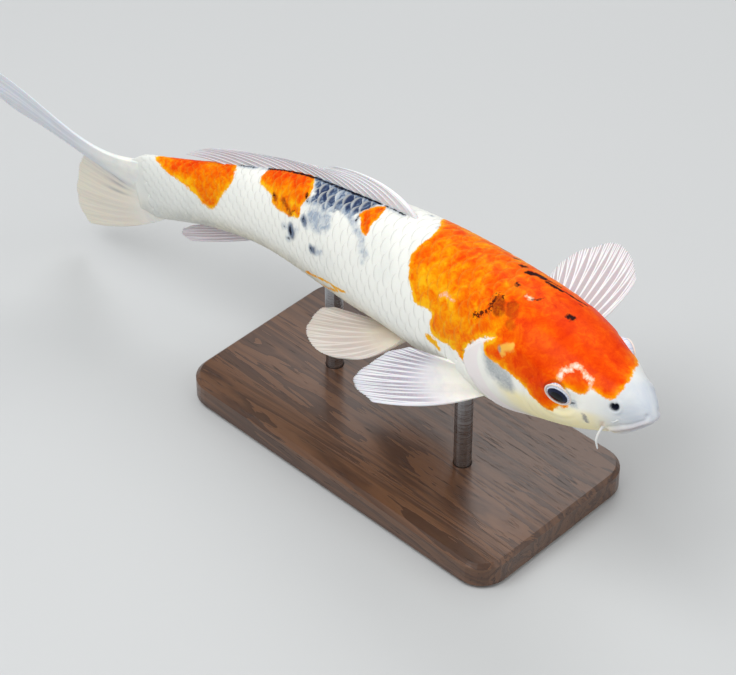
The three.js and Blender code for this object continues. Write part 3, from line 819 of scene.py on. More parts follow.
def eye_pattern(tree, given):
    """Pupil, blue-black iris with fine radial threads, and a pale ring."""
    turn = attribute(tree, "gaze_turn") * 9.0
    threads = made(tree, "TexNoise", "Fac", {"noise_dimensions": "1D"},
                   {"W": turn, "Scale": 1.0, "Detail": 4.0})
    fine = noise(tree, 0.8 * MM, 3.0)
    rim = attribute(tree, "gaze") + (fine - 0.5) * 0.35
    iris = threads.blend(given["Iris"], given["Iris light"])
    ring = threads.step(0.35, 0.7).blend(given["Ring"], given["Ring shade"])
    colour = rim.step(4.5, 4.8).blend(rim.step(2.7, 3.1).blend(given["Pupil"], iris), ring)
    return {"Color": colour, "Roughness": fine * 0.06 + 0.05, "Height": threads}


eye_group = group("koi_eye", {
    "Pupil": rgb(8, 9, 18), "Iris": rgb(14, 18, 40), "Iris light": rgb(34, 40, 72),
    "Ring": rgb(240, 242, 250), "Ring shade": rgb(196, 206, 232),
}, eye_pattern)
eye_material = material("koi_eye", eye_group, bump=0.05, distance=0.05 * MM, coat_weight=0.1,
                        coat_roughness=0.02, specular_ior_level=0.08)


def wood_pattern(tree, given):
    """Long grain along the base: stretched noise drives rings, pores and a satin roughness."""
    where = places(tree, (3.0, 42.0, 42.0))
    bands = (noise(tree, 1 / 1.6, 5.0, 0.6, 0.8, where) * 7.0).fraction()
    pore = noise(tree, 1 / 22, 2.0, 0.7, 0.0, where).step(0.6, 0.7)
    wood = bands.step(0.1, 0.95).blend(given["Early wood"], given["Late wood"])
    return {"Color": (pore * 0.7).blend(wood, given["Pore"]), "Roughness": pore * 0.25 + 0.34,
            "Height": bands - pore}


wood_group = group("walnut", {"Early wood": rgb(104, 70, 46), "Late wood": rgb(70, 44, 28),
                              "Pore": rgb(34, 21, 14)}, wood_pattern)


def steel_pattern(tree, given):
    """Brushed steel: very fine noise, stretched round the rod, on colour and roughness."""
    brush = noise(tree, 1.0, 3.0, 0.7, 0.0, places(tree, (60.0, 60.0, 2600.0)))
    return {"Color": brush.blend(given["Dark"], given["Light"]),
            "Roughness": brush.step(0.3, 0.7, 0.22, 0.42), "Height": brush}


steel_group = group("brushed_steel", {"Dark": rgb(150, 152, 156), "Light": rgb(198, 200, 204)},
                    steel_pattern)


def floor_pattern(tree, given):
    """A pale, slightly clouded studio floor."""
    cloud = noise(tree, 0.5, 2.0)
    return {"Color": (cloud * 0.5).blend(given["Floor"], given["Cloud"]),
            "Roughness": cloud * 0.1 + 0.6, "Height": noise(tree, 2 * MM)}


floor_group = group("studio_floor", {"Floor": rgb(204, 206, 207), "Cloud": rgb(196, 199, 200)},
                    floor_pattern)

# ------------------------------------------------------------------ places on the head

RIGHT, LEFT = -1, 1


def side_angle(side, slope):
    """The angle round the body of a slope from the flank, both in degrees."""
    return slope if side == LEFT else 180 - slope


def eye_seat(side):
    """The seat of an eye: the point of the head's surface under it, the way it looks, the axes
    across that way, forward and upward, and the body's own up there."""
    along = np.array(EYE["along"][side])
    slope = np.degrees(np.arcsin(EYE["above"][side] / section(UP, along)))
    angle = np.radians(side_angle(side, slope))
    forward, left, up = directions(along)
    gaze = unit(left * side * np.cos(EYE["rake"]) + forward * np.sin(EYE["rake"])
                - up * np.sin(EYE["droop"][side]))
    level = unit(forward - gaze * (forward @ gaze))
    return body_point(along, angle) - gaze * 0.7 * MM, gaze, level, np.cross(gaze, level), up


def head_line(side, points):
    """A smooth line on the head through (along, slope in degrees)."""
    line = curve_through(points)
    return body_point(np.maximum(line[:, 0], 1e-5), np.radians(side_angle(side, line[:, 1])))


# Lines on one side of the head: how far the skin rises along the line and how far it spreads, in
# millimetres, and the line as (along, slope from the flank in degrees).
HEAD_LINES = {
    "lip crease": (-0.6, 0.8, [(0.0045, 20), (0.0050, 0), (0.0075, -12), (0.021, -23),
                               (0.037, -24), (0.056, -33)]),
    "upper lip": (1.1, 1.6, [(0.0008, -89), (0.0040, -36), (0.0090, -30), (0.021, -34),
                             (0.036, -34), (0.052, -38)]),
    "mouth": (-2.3, 0.75, [(0.0035, -90), (0.0060, -62), (0.0115, -48), (0.022, -45),
                           (0.036, -43), (0.054, -45)]),
    "lower lip": (0.95, 1.5, [(0.0085, -90), (0.0110, -72), (0.0165, -61), (0.026, -57),
                              (0.038, -54), (0.053, -52)]),
    "chin": (-0.7, 1.1, [(0.0150, -90), (0.0185, -80), (0.026, -71), (0.036, -67), (0.048, -62),
                         (0.060, -57)]),
    "corner fold": (-0.7, 0.9, [(0.060, -22), (0.064, -34), (0.063, -46), (0.060, -56)]),
    "cheek rim": (-0.5, 1.0, [(0.158, 14), (0.168, 2), (0.171, -14), (0.165, -32), (0.150, -48),
                              (0.122, -58), (0.090, -62)]),
    "under eye": (-0.22, 1.1, [(0.085, 4), (0.096, -16), (0.115, -24), (0.138, -20),
                               (0.152, -6)]),
    "brow": (0.5, 3.2, [(0.070, 30), (0.095, 27), (0.125, 27), (0.155, 30), (0.180, 36)]),
    "gill plate": (-0.3, 0.9, [(0.196, -48), (0.222, -40), (0.248, -28), (0.270, -14)]),
    "throat outside": (-0.45, 0.9, [(0.120, -74), (0.150, -70), (0.185, -66), (0.215, -60)]),
    "throat between": (-0.45, 0.9, [(0.115, -82), (0.150, -78), (0.190, -73), (0.228, -66)]),
    "throat inside": (-0.45, 0.9, [(0.100, -89), (0.140, -86), (0.180, -81), (0.220, -74)]),
}
NOSTRIL = (0.041, 18)


def head_relief(points, normal, along, slope, side):
    """How far the skin of one side stands out from or in of the plain body, in metres: bells of
    the distance to each line, a socket for the eye, a pit with its flap for the nostril, and the
    gill cover's rise with the step at its rear edge. Returns the rise and two tints, the pink of
    thin folds and painted shade: dark in the nostril pit and a shadow line under the brow."""
    away = {name: line_distance(points, head_line(side, line))
            for name, (_, _, line) in HEAD_LINES.items()}
    rise = sum(height * MM * bell(away[name], spread * MM)
               for name, (height, spread, _) in HEAD_LINES.items())
    pink = (0.3 * bell(away["mouth"], 1.0 * MM) + 0.3 * bell(away["corner fold"], 0.9 * MM)
            + 0.12 * bell(away["upper lip"], 1.3 * MM))

    edge = gill_edge(slope)
    front = 0.188 + 0.45 * (edge - 0.284)
    reach = ease((slope + 84) / 14) * ease((38 - slope) / 7)
    on_cover = ease((along - front) / np.maximum(edge - front, 0.01)) * (along < edge)
    ridges = np.sin(np.degrees(np.arctan2(slope - 26, (along - 0.185) * 900)) * 0.42)
    radial = ridges * ease((along - front - 0.02) / 0.03) * ease((edge - 0.02 - along) / 0.02)
    step_in = bell(along - edge - 0.004, 0.0045) * (along >= edge)
    band = np.sin(np.clip((edge - along) / 0.034, 0, 1) * np.pi)
    rise += reach * MM * (0.95 * on_cover + (0.06 * radial - 0.12 * band) * (along < edge)
                          - 0.9 * step_in)

    centre, gaze, _, _, upward = eye_seat(side)
    away = points - centre
    radius = np.linalg.norm(np.cross(away, gaze), axis=-1)
    seen = (away @ gaze > -12 * MM) & (radius < 14 * MM) & (normal @ gaze > 0.2)
    level = -(away @ gaze) / np.maximum(normal @ gaze, 0.2)
    level = np.clip(level, -1.5 * MM, EYE["brow"][side])
    level *= 1 - ease((radius - 5.8 * MM) / (5.5 * MM))
    socket = -3.0 * MM * (1 - ease((radius - 4.4 * MM) / (1.3 * MM)))
    rim = 0.2 * MM * (bell(radius - 6.7 * MM, 0.8 * MM) - bell(radius - 8.3 * MM, 0.9 * MM))
    around_eye = rise * ease((radius - 6 * MM) / (3 * MM)) + level + socket + rim
    # Painted shadow: a dark line along the upper edge of the eye, under the brow.
    brow_shadow = seen * 0.4 * bell(radius - 6.35 * MM, 0.36 * MM) * ease((away @ upward) / (3 * MM))
    rise = np.where(seen, around_eye, rise)

    seat = body_point(np.array(NOSTRIL[0]), np.radians(side_angle(side, NOSTRIL[1])))
    forward, _, up = directions(np.array(NOSTRIL[0]))
    away = points - seat
    x, y = away @ forward, away @ up
    pit = np.exp(-((x / (1.9 * MM)) ** 2 + (y / (1.8 * MM)) ** 2) ** 2.2)
    pit *= 1 - 0.95 * bell(x + 0.2 * MM, 0.6 * MM) * bell(y - 1.8 * MM, 0.9 * MM)
    ring = np.hypot(x, y)
    flap = bell(ring - 2.7 * MM, 0.6 * MM) * ease((x / np.maximum(ring, 1e-6) + 0.1) / 0.9)
    close = np.linalg.norm(away, axis=-1) < 6 * MM
    rise += close * (0.5 * MM * flap - 1.6 * MM * pit)
    # The third tint is painted shade: the nostril pit and the shadow line over each eye.
    return rise, np.clip(pink, 0, 1), np.maximum(close * ease(pit * 1.5), brow_shadow)


# ------------------------------------------------------------------ skin

HEAD_END = 0.30
BODY_END = 1.03
SKIN_TURNS = 226


def skin_columns():
    """Places along the body: evenly turned round the snout, 0.5 mm apart on the head and 1.1 mm
    behind it."""
    snout = SNOUT * (1 - np.cos(np.radians(np.linspace(0, 90, 42)[1:-1])))
    head = np.arange(SNOUT, HEAD_END, 0.52 * MM / SL)
    trunk = np.linspace(HEAD_END, BODY_END, 205)
    return np.concatenate([snout, head, trunk])


def normals_of(points, centre):
    """The unit normals of a grid that wraps along its second direction, pointing off centre."""
    along = np.gradient(points, axis=0)
    around = np.roll(points, -1, 1) - np.roll(points, 1, 1)
    normal = unit(np.cross(along, around))
    return normal * np.sign((normal * (points - centre)).sum(-1, keepdims=True))


def skin_sheet():
    """The body's surface on a grid along and round it, lowered by the coat's depth where scales
    lie on it, and moved along its normals by the relief of the head and by faint muscle bands."""
    columns = skin_columns()
    turns = np.linspace(-90, 270, SKIN_TURNS, endpoint=False)
    along, angle = np.meshgrid(columns, turns, indexing="ij")
    slope = slope_of(angle)
    sunk = COAT_DEPTH * ease((along - scaled_from(slope) - 0.004) / 0.010)
    sunk = sunk + 1.2 * MM * ease((along - 1) / 0.03)
    points = body_point(along, np.radians(angle), -sunk)
    normal = normals_of(points, place(along, 0, 0))
    rise, pink, painted_shade = 0 * along, 0 * along, 0 * along
    for side in (RIGHT, LEFT):
        mine = (np.cos(np.radians(angle)) * side >= -0.02) & (along < HEAD_END + 0.02)
        part = head_relief(points[mine], normal[mine], along[mine], slope[mine], side)
        for total, value in zip((rise, pink, painted_shade), part):
            total[mine] = np.where(np.abs(value) > np.abs(total[mine]), value, total[mine])
    bands = np.sin(along * 190 + 2.2 * np.cos(np.radians(slope * 2)))
    rise += 0.05 * MM * bands * ease((along - 0.34) / 0.1) * ease((1 - along) / 0.1)
    return columns, along, angle, points + normal * rise[..., None], pink, painted_shade


def make_skin():
    """The skin closed on a point at the snout and one at the tail root, with its UV map and its
    marks. The unwrap has the body's length to the right and the turn round it upwards."""
    columns, along, angle, points, pink, painted_shade = skin_sheet()
    rows, ring = along.shape
    quads, corners = lattice(rows, ring, wrap=True)
    vertices = np.vstack([points.reshape(-1, 3), points[0].mean(0), points[-1].mean(0)])

    def unwrap(row, column):
        share = np.interp(row, np.arange(-1, rows + 1), [0.0, *columns, BODY_END])
        return np.stack([0.01 + 0.98 * share / BODY_END, 0.12 + 0.87 * column / ring], -1)

    loop = np.arange(ring)
    cap_rows = np.array([[-1, 0, 0]] * ring + [[rows, rows - 1, rows - 1]] * ring)
    cap_columns = np.vstack([np.stack([loop + 0.5, loop, loop + 1], -1),
                             np.stack([loop + 0.5, loop + 1, loop], -1)])
    marks = paint(along, angle)
    marks.update({"flush": pink, "painted_shade": painted_shade, "tone": 0 * along + 0.5, "cell": 0 * along + 1,
                  "edge": 0 * along, "ring": 0 * along})
    marks = {key: np.concatenate([value.ravel(), value[0, :1], value[-1, :1]])
             for key, value in marks.items()}
    uv = [unwrap(corners[..., 0], corners[..., 1]), unwrap(cap_rows, cap_columns)]
    return vertices, quads, pole_caps(rows, ring), uv, marks


# Soft extras that grow out of the skin: barbels and the thin rims of the eyes.


def pipe(path, radii, sides=14):
    """A tube: a ring of the given radius about each point of the path, in the plane square to it,
    with the rings held level to a fixed direction. Rounded off by its radii."""
    run = unit(np.gradient(path, axis=0))
    across = unit(np.cross(run, [0.3, 0.2, 1.0]))
    other = np.cross(across, run)
    turn = np.linspace(0, 2 * np.pi, sides, endpoint=False)[None, :, None]
    spokes = across[:, None] * np.cos(turn) + other[:, None] * np.sin(turn)
    return path[:, None] + spokes * radii[:, None, None]


# Each barbel: its root, its length, the way its tip lies from there and its thickness.
BARBELS = {"long": ((0.0640, 0.0410, -0.0325), 8.5 * MM, (-0.04, 0.24, -0.95), 0.85),
           "short": ((0.034, 0.0325, -0.006), 3.6 * MM, (0.85, 0.42, -0.35), 0.45)}


def barbel_tube(side, root, length, reach, thick):
    """A tapering feeler with faint rings: it leaves the skin, bends down and curls forward."""
    s, w, z = root
    drop = length / SL
    tip = np.array(reach) * drop
    knots = [(s + 0.001, w - 0.012, z + 0.003), (s, w - 0.004, z + 0.002),
             (s + 0.42 * tip[0] + 0.057 * drop, w + 0.42 * tip[1] + 0.1 * drop, z + 0.42 * tip[2]),
             (s + tip[0], w + tip[1], z + tip[2])]
    line = curve_through(knots, 16)
    path = place(line[:, 0], line[:, 1] * side, line[:, 2])
    t = np.linspace(0, 1, len(path))
    radii = mix(1.5, 0.8, ease(t / 0.35)) - 0.42 * np.clip((t - 0.35) / 0.65, 0, 1)
    radii = radii * (1 + 0.05 * np.sin(t * 95)) * np.sqrt(np.clip((1.0 - t) / 0.05, 0.02, 1))
    return pipe(path, radii * thick * MM)


def eye_rim(side):
    """A thin soft roll round the eyeball, on the circle where it leaves the skin."""
    centre, gaze, level, upward, _ = eye_seat(side)
    turn = np.linspace(0, 2 * np.pi, 96, endpoint=False)[:, None]
    ring = level * np.cos(turn) + upward * np.sin(turn)
    path = centre + ring * 5.85 * MM + gaze * 0.05 * MM
    turn = np.linspace(0, 2 * np.pi, 12, endpoint=False)[:, None]
    roll = ring[:, None] * np.cos(turn) * 0.42 * MM + gaze * np.sin(turn) * 0.36 * MM
    return path[:, None] + roll


# The nodes that the skin stands for.
FLESH = ["head", "lip_upper", "lip_lower", "gill_cover_right", "gill_cover_left", "trunk_front",
         "trunk_rear", "tail_stalk", "barbel_long_right", "barbel_long_left",
         "barbel_short_right", "barbel_short_left"]


def add_skin():
    """One mesh for all the flesh: the skin, the four barbels and the rims of the eyes. The UV map
    gives each extra a strip below the skin's own."""
    vertices, quads, caps, (quad_uv, cap_uv), marks = make_skin()
    if faces_in(vertices, quads, vertices[quads[:, 0]] - place(0.4, 0, 0)):
        quads, quad_uv, caps, cap_uv = (part[:, ::-1] for part in (quads, quad_uv, caps, cap_uv))
    extras = []
    for side in (RIGHT, LEFT):
        extras += [(barbel_tube(side, *shape), False) for shape in BARBELS.values()]
        extras.append((eye_rim(side), True))
    quads, quad_uv = [quads], [quad_uv]
    for number, (tube, closed) in enumerate(extras):
        start = len(vertices)
        rings, sides = tube.shape[:2]
        faces, corners = lattice(rings + closed, sides, wrap=True)
        faces = faces % (rings * sides) + start
        vertices = np.vstack([vertices, tube.reshape(-1, 3)])
        if faces_in(vertices, faces[:1], vertices[faces[:1, 0]] - tube[0].mean(0)):
            faces, corners = faces[:, ::-1], corners[:, ::-1]
        quads.append(faces)
        strip = number + 0.05 + 0.9 * corners[..., 0] / (rings + closed)
        quad_uv.append(np.stack([strip / len(extras), 0.01 + 0.09 * corners[..., 1] / sides], -1))
        if not closed:
            turn = np.arange(sides)
            for lid in (start + turn[::-1], start + (rings - 1) * sides + turn):
                hub = np.full(sides // 2 - 1, lid[0])
                quads.append(np.stack([hub, lid[1:-2:2], lid[2:-1:2], lid[3::2]], -1))
                quad_uv.append(np.full((sides // 2 - 1, 4, 2), 0.005))
        plain = dict.fromkeys([*STROKES, "patch", "slate", "gold", "veil"], -20.0)
        plain.update({"along": 0.115 if closed else 0.05, "belly": 0.3, "tone": 0.5, "cell": 1.0,
                      "flush": 0.3 * closed})
        marks = {key: np.append(value, np.full(rings * sides, plain.get(key, 0.0)))
                 for key, value in marks.items()}
    piece = build("skin", vertices, [np.vstack(quads), caps], [np.vstack(quad_uv), cap_uv], marks,
                  skin_material)
    settle(piece, "skin_head", *FLESH)


add_skin()

# ------------------------------------------------------------------ scales


def scale_rows():
    """The angles of the rows of scales, evenly spaced by arc length on the deepest section."""
    turns = np.linspace(-90, 270, 2881)
    ring = body_point(np.full(len(turns), 0.4), np.radians(turns))
    length = np.concatenate([[0], np.cumsum(np.linalg.norm(np.diff(ring, axis=0), axis=1))])
    spots = length[-1] * np.arange(SCALES["rows"]) / SCALES["rows"]
    return np.interp(spots, length, turns)


def scale_starts():
    """Places of the scales along a row, half a spacing apart, and the spacing there: it shrinks
    evenly from shoulder to tail."""
    along = np.linspace(0.20, 1.0, 1601)
    spacing = mix(SCALES["front"], SCALES["rear"], ease((along - 0.3) / 0.7)) / SL
    count = np.concatenate([[0], np.cumsum(np.diff(along) / spacing[:-1])])
    halves = np.arange(0, count[-1], 0.5)
    return np.interp(halves, count, along), np.interp(halves, count, spacing)


def scale_coat(name, wanted, seed):
    """Overlapping scales as closed thin plates. A plate reaches from its root under the scales
    before it to a rounded rear edge, x = e(p) = 1 - p^2.3 / 2 spacings behind its centre, with p
    from -1 to 1 across the row; its upper side climbs from below the skin to the coat's top and
    sinks at the rear edge. The scales of the lateral line bear a short tube."""
    rows = scale_rows()
    halves, spacing = scale_starts()
    row, half = np.meshgrid(np.arange(len(rows)), np.arange(len(halves)), indexing="ij")
    turn, along, pitch = rows[row], halves[half], spacing[half]
    keep = (row % 2 == half % 2) & wanted(turn) & (along + pitch < 1.012)
    keep &= along > scaled_from(slope_of(turn)) - 0.2 * pitch
    turn, along, pitch = turn[keep], along[keep], pitch[keep]
    around = np.interp(turn, rows, np.gradient(rows))[:, None, None]
    random = np.random.default_rng(seed).random((3, len(turn)))[..., None, None]

    p = np.linspace(-1, 1, 11)[None, None, :]
    q = np.linspace(0, 1, 9)[None, :, None] ** 0.9
    rear = 1 - 0.5 * np.abs(p) ** 2.3 + 0.05 * (random[0] - 0.5)
    x = mix(-0.55, rear, q)
    s = along[:, None, None] + pitch[:, None, None] * x
    a = turn[:, None, None] + around * p * 1.05 * (1 - 0.15 * (1 - q) ** 2)
    lift = mix(-COAT_DEPTH - 0.06 * MM, 0.06 * MM, (x + 0.55) / 1.55) - 0.08 * MM * p * p
    lift = lift + 0.03 * MM * (random[1] - 0.5) - 0.15 * MM * ease((q - 0.76) / 0.24)
    line = (np.abs(slope_of(turn)) < 4)[:, None, None]
    lift = lift + line * 0.16 * MM * bell(p, 0.16) * ease((q - 0.3) / 0.2) * ease((0.95 - q) / 0.2)
    count, deep, wide = s.shape
    upper = body_point(s, np.radians(a), lift)
    lower = body_point(s, np.radians(a), lift - SCALES["thick"])
    points = np.stack([upper, lower], 1).reshape(-1, 3)
    faces = shell(deep, wide)
    top = faces[:(deep - 1) * (wide - 1)]
    if faces_in(points, top, (upper - lower)[0].reshape(-1, 3)[top[:, 0]]):
        faces = faces[:, ::-1]
    faces = (faces[None] + np.arange(count)[:, None, None] * 2 * deep * wide).reshape(-1, 4)

    root = np.stack([0.01 + 0.98 * along / BODY_END, 0.12 + 0.87 * (turn + 90) / 360], -1)
    patch = np.stack(np.broadcast_arrays(0.0015 * (2 * q - 1), 0.0015 * p), -1)
    uv = root[:, None, None] + patch
    uv = np.stack([uv, uv], 1).reshape(-1, 2)
    marks = paint(s, np.where(a > 270, a - 360, np.where(a < -90, a + 360, a)))
    marks.update({"cell": ease((0.97 - q) / 0.22), "edge": ease((q - 0.82) / 0.16),
                  "tone": random[2], "ring": np.hypot(x - 0.1, 0.7 * p), "flush": 0.0,
                  "painted_shade": 0.0, "gill_band": 0.0})
    marks = {key: np.broadcast_to(value, s.shape) for key, value in marks.items()}
    marks = {key: np.stack([value, value], 1).ravel() for key, value in marks.items()}
    settle(build(name, points, [faces], [uv[faces]], marks, scale_material), "skin_body")


# Each coat piece, the rows that it holds by their angle, and the seed of its small differences.
scale_coat("scales_left", lambda turn: (turn < 30) & (turn > -90), 27)
scale_coat("scales_back", lambda turn: (turn >= 30) & (turn <= 150), 49)
scale_coat("scales_right", lambda turn: turn > 150, 87)
scale_coat("scales_keel", lambda turn: turn == -90, 100)

# ------------------------------------------------------------------ fins


def centripetal(points, share):
    """A centripetal Catmull-Rom curve through points at a share of its point numbers, with the
    end points carried on straight: knots a square root of the distance apart."""
    points = np.asarray(points, float)
    ring = np.vstack([2 * points[0] - points[1], points, 2 * points[-1] - points[-2]])
    whole = np.clip(share, 0, 1) * (len(points) - 1)
    k = np.minimum(whole.astype(int), len(points) - 2)
    t = (whole - k)[..., None]
    a, b, c, d = (ring[k + n] for n in range(4))
    gaps = [np.sqrt(np.maximum(np.linalg.norm(y - x, axis=-1), 1e-9))[..., None]
            for x, y in ((a, b), (b, c), (c, d))]
    start = (b - a) / gaps[0] - (c - a) / (gaps[0] + gaps[1]) + (c - b) / gaps[1]
    end = (c - b) / gaps[1] - (d - b) / (gaps[1] + gaps[2]) + (d - c) / gaps[2]
    start, end = start * gaps[1], end * gaps[1]
    return (b + start * t + (-3 * b + 3 * c - 2 * start - end) * t ** 2
            + (2 * b - 2 * c + start + end) * t ** 3)


def fin_sheet(root, margin, bow, sway, u, v):
    """The middle of a fin: at each u a quadratic curve from the root to the margin, whose knee
    stands off the middle by bow, plus sway * v (1 - v) (2 v - 1), an S."""
    start, off, swing = (np.moveaxis(np.array(np.broadcast_arrays(*curve(u))), 0, -1)
                         for curve in (root, bow, sway))
    end = centripetal(margin, u)
    knee = (start + end) / 2 + off
    v = v[..., None]
    middle = start * (1 - v) ** 2 + 2 * knee * v * (1 - v) + end * v ** 2
    return middle + swing * v * (1 - v) * (2 * v - 1)


def rays(u, v, count, branch):
    """Height of the rays, 0 on the web to 1 on a ray. Each ray splits in two at `branch` and
    again near its tip, and its branches spread apart."""
    within = u * count - np.floor(u * count) - 0.5
    first = 0.23 * ease((v - branch) / (1 - branch))
    second = 0.11 * ease((v - mix(branch, 1, 0.55)) / (0.45 * (1 - branch)))
    shifts = [one * first + two * second for one in (-1, 1) for two in (-1, 1)]
    return np.max([bell(within - shift, mix(0.2, 0.075, v)) for shift in shifts], 0)


def no_sway(u):
    """For a fin that bows one way only."""
    return 0 * u, 0 * u, 0 * u


def no_mark(u, v):
    """For a fin without painted crease shade or tint."""
    return 0 * u


def make_fin(name, nodes, root, margin, bow, finish, count, across, along_rays, branch=0.35,
             wave=0.0, streak=no_mark, tint=no_mark, swell=0.0, relief=1.0, smooth=0.04, edge=0.035,
             sway=no_sway):
    """A fin as a closed thin shell: the sheet's middle, moved along its normal by half the
    thickness of web and rays. The margin is drawn in between the tips of the rays."""
    u, v = np.meshgrid(np.linspace(0, 1, across), np.linspace(0, 1, along_rays) ** 0.92,
                       indexing="ij")
    tip = rays(u, np.ones_like(u), count, branch)
    nick = np.sin(u * count * 1.7) * np.sin(u * count * 0.61 + 1.3)
    reach = v * (1 - 0.014 * (1 - tip) - 0.006 * ease(nick * 1.5))
    middle = place(*np.moveaxis(fin_sheet(root, margin, bow, sway, u, reach), -1, 0))
    normal = unit(np.cross(np.gradient(middle, axis=1), np.gradient(middle, axis=0)))
    ripple = wave * np.sin(u * 17 + v * 3) * v + 0.35 * wave * np.sin(u * 41 + 2) * v * v
    middle = middle + normal * ripple[..., None]
    lead = bell(u, edge)
    ray = np.maximum(rays(u, v, count, branch), lead * (1 - 0.4 * v))
    web = mix(0.75, 0.24, v ** 0.5)
    creased = ease((v - smooth) / 0.32)
    ridge = 0.75 * mix(1.5, 0.42, v ** 0.75) * ray * creased * relief
    thick = web + 1.4 * (1 - v) ** 2 + ridge + 0.5 * lead * (1 - v)
    thick = thick + swell * (1 - v) ** 3 * np.sqrt(u * (1 - u))
    border = np.minimum.reduce([u / 0.006, (1 - u) / 0.006, (1 - v) / 0.008])
    thick = thick * MM * (0.35 + 0.65 * ease(border))
    half = normal * (thick / 2)[..., None]
    points = np.concatenate([(middle + half).reshape(-1, 3), (middle - half).reshape(-1, 3)])
    faces = shell(*u.shape)
    upper = faces[:(u.shape[0] - 1) * (u.shape[1] - 1)]
    if faces_in(points, upper, normal.reshape(-1, 3)[upper[:, 0]]):
        faces = faces[:, ::-1]
    marks = {"ray": ray, "out": v, "reach": v * 60, "creased": creased, "streak": streak(u, v),
             "tint": tint(u, v)}
    marks = {key: np.tile(value.ravel(), 2) for key, value in marks.items()}
    settle(build(name, points, [faces], None, marks, finish), "fins", *nodes)


white_fin = fin_material("fin_white")
# The far pectoral: the white fin's colours darkened and greyed as painted shade, with a faint pink.
far_fin = fin_material("fin_far_shaded", web_root=rgb(218, 214, 214), web_tip=rgb(206, 201, 206),
                       web_shade=rgb(196, 188, 194), line=rgb(176, 158, 162), line_strength=0.5)
rose_fin = fin_material("fin_rose", web_root=rgb(224, 220, 220), web_tip=rgb(208, 202, 206),
                        web_shade=rgb(190, 182, 186), ray=rgb(236, 234, 238),
                        line=rgb(142, 136, 144), line_strength=0.35, tint=rgb(252, 252, 255))
belly_fin = fin_material("fin_belly", web_root=rgb(232, 222, 204), web_tip=rgb(212, 201, 193),
                         web_shade=rgb(198, 186, 178), ray=rgb(226, 217, 210),
                         line=rgb(170, 154, 146), line_strength=0.2)
tail_fin = fin_material("fin_tail", web_root=rgb(244, 244, 236), web_tip=rgb(212, 222, 232),
                        web_shade=rgb(206, 212, 216), ray=rgb(222, 229, 236),
                        line=rgb(160, 164, 170), line_strength=0.12, tint=rgb(236, 228, 208),
                        streak=rgb(150, 152, 156))


def midline_root(front, run, key, side):
    """The root of a fin on the back (side 1) or the belly (side -1), sunk a little into it."""
    def root(u):
        along = front + run * u
        return along, 0 * u, side * (section(key, along) - 0.012)
    return root


make_fin("dorsal_fin_rays", ["dorsal_fin"], midline_root(0.448, 0.392, UP, 1),
         [(0.645, 0.006, 0.122), (0.700, 0.006, 0.100), (0.775, 0.008, 0.091),
          (0.850, 0.010, 0.083), (0.905, 0.009, 0.076), (0.932, 0.004, 0.066)],
         lambda u: (-0.045 + 0.045 * u, 0 * u, 0.045 * (1 - u) ** 1.5 + 0.006),
         rose_fin, 20, 281, 56, branch=0.4, wave=0.35 * MM, edge=0.016,
         tint=lambda u, v: 1 - ease((u - 0.1) / 0.35))
make_fin("anal_fin_rays", ["anal_fin"], midline_root(0.805, 0.068, DOWN, -1),
         [(0.952, 0.002, -0.097), (0.968, 0.003, -0.089), (0.966, 0.003, -0.078),
          (0.948, 0.002, -0.067)],
         lambda u: (-0.014 * (1 - u), 0 * u, -0.012 * (1 - u)),
         rose_fin, 7, 99, 56, wave=0.3 * MM)
make_fin("caudal_fin_rays", ["caudal_fin_upper", "caudal_fin_lower"],
         lambda u: (0.985 + 0 * u, 0 * u, 0.051 - 0.108 * u),
         [(1.288, 0.034, 0.178), (1.296, 0.040, 0.132), (1.262, 0.050, 0.088),
          (1.208, 0.058, 0.045), (1.160, 0.070, 0.001), (1.178, 0.080, -0.040),
          (1.200, 0.090, -0.088), (1.213, 0.100, -0.130), (1.200, 0.100, -0.168)],
         lambda u: (-0.008 * np.abs(1 - 2 * u), -0.018 + 0 * u,
                    -0.055 * (1 - u) ** 1.5 - 0.01 * u ** 2),
         tail_fin, 17, 305, 72, branch=0.3, wave=0.5 * MM, relief=0.2, smooth=0.25,
         sway=lambda u: (-0.1 * (1 - u) ** 2, 0 * u, 0.107 * (1 - u) ** 2),
         # Painted shade of three soft creases fanning across the lower lobe.
         streak=lambda u, v: 0.6 * bell(v - 0.52, 0.14) * (
             bell(u - 0.58, 0.014) + bell(u - 0.65, 0.012) + bell(u - 0.52, 0.012)),
         tint=lambda u, v: ease((u - 0.42) / 0.2), swell=9.5)


def pectoral_root(side):
    """The root of a pectoral fin, low behind the gill cover."""
    def root(u):
        return mix(0.271, 0.298, u), side * mix(0.058, 0.074, u), mix(-0.066, -0.021, u)
    return root


make_fin("pectoral_fin_right_rays", ["pectoral_fin_right"], pectoral_root(RIGHT),
         [(0.407, -0.156, -0.091), (0.4495, -0.1495, -0.090), (0.462, -0.142, -0.086),
          (0.466, -0.113, -0.079), (0.445, -0.093, -0.060), (0.400, -0.085, -0.032)],
         lambda u: (-0.035 * (1 - u) ** 1.5, -0.018 * (1 - u) - 0.014 * u, 0.002 + 0.010 * u),
         white_fin, 13, 225, 64, wave=0.45 * MM, relief=0.7, smooth=0.34)
make_fin("pectoral_fin_left_rays", ["pectoral_fin_left"], pectoral_root(LEFT),
         [(0.258, 0.218, -0.008), (0.296, 0.244, 0.003), (0.338, 0.250, 0.004),
          (0.370, 0.218, -0.009), (0.382, 0.175, -0.024), (0.362, 0.125, -0.032)],
         lambda u: (-0.028 * (1 - u) ** 1.5, 0.020 * (1 - u) ** 1.5, 0.004 * (1 - u) ** 1.5),
         far_fin, 13, 225, 64, wave=0.45 * MM)


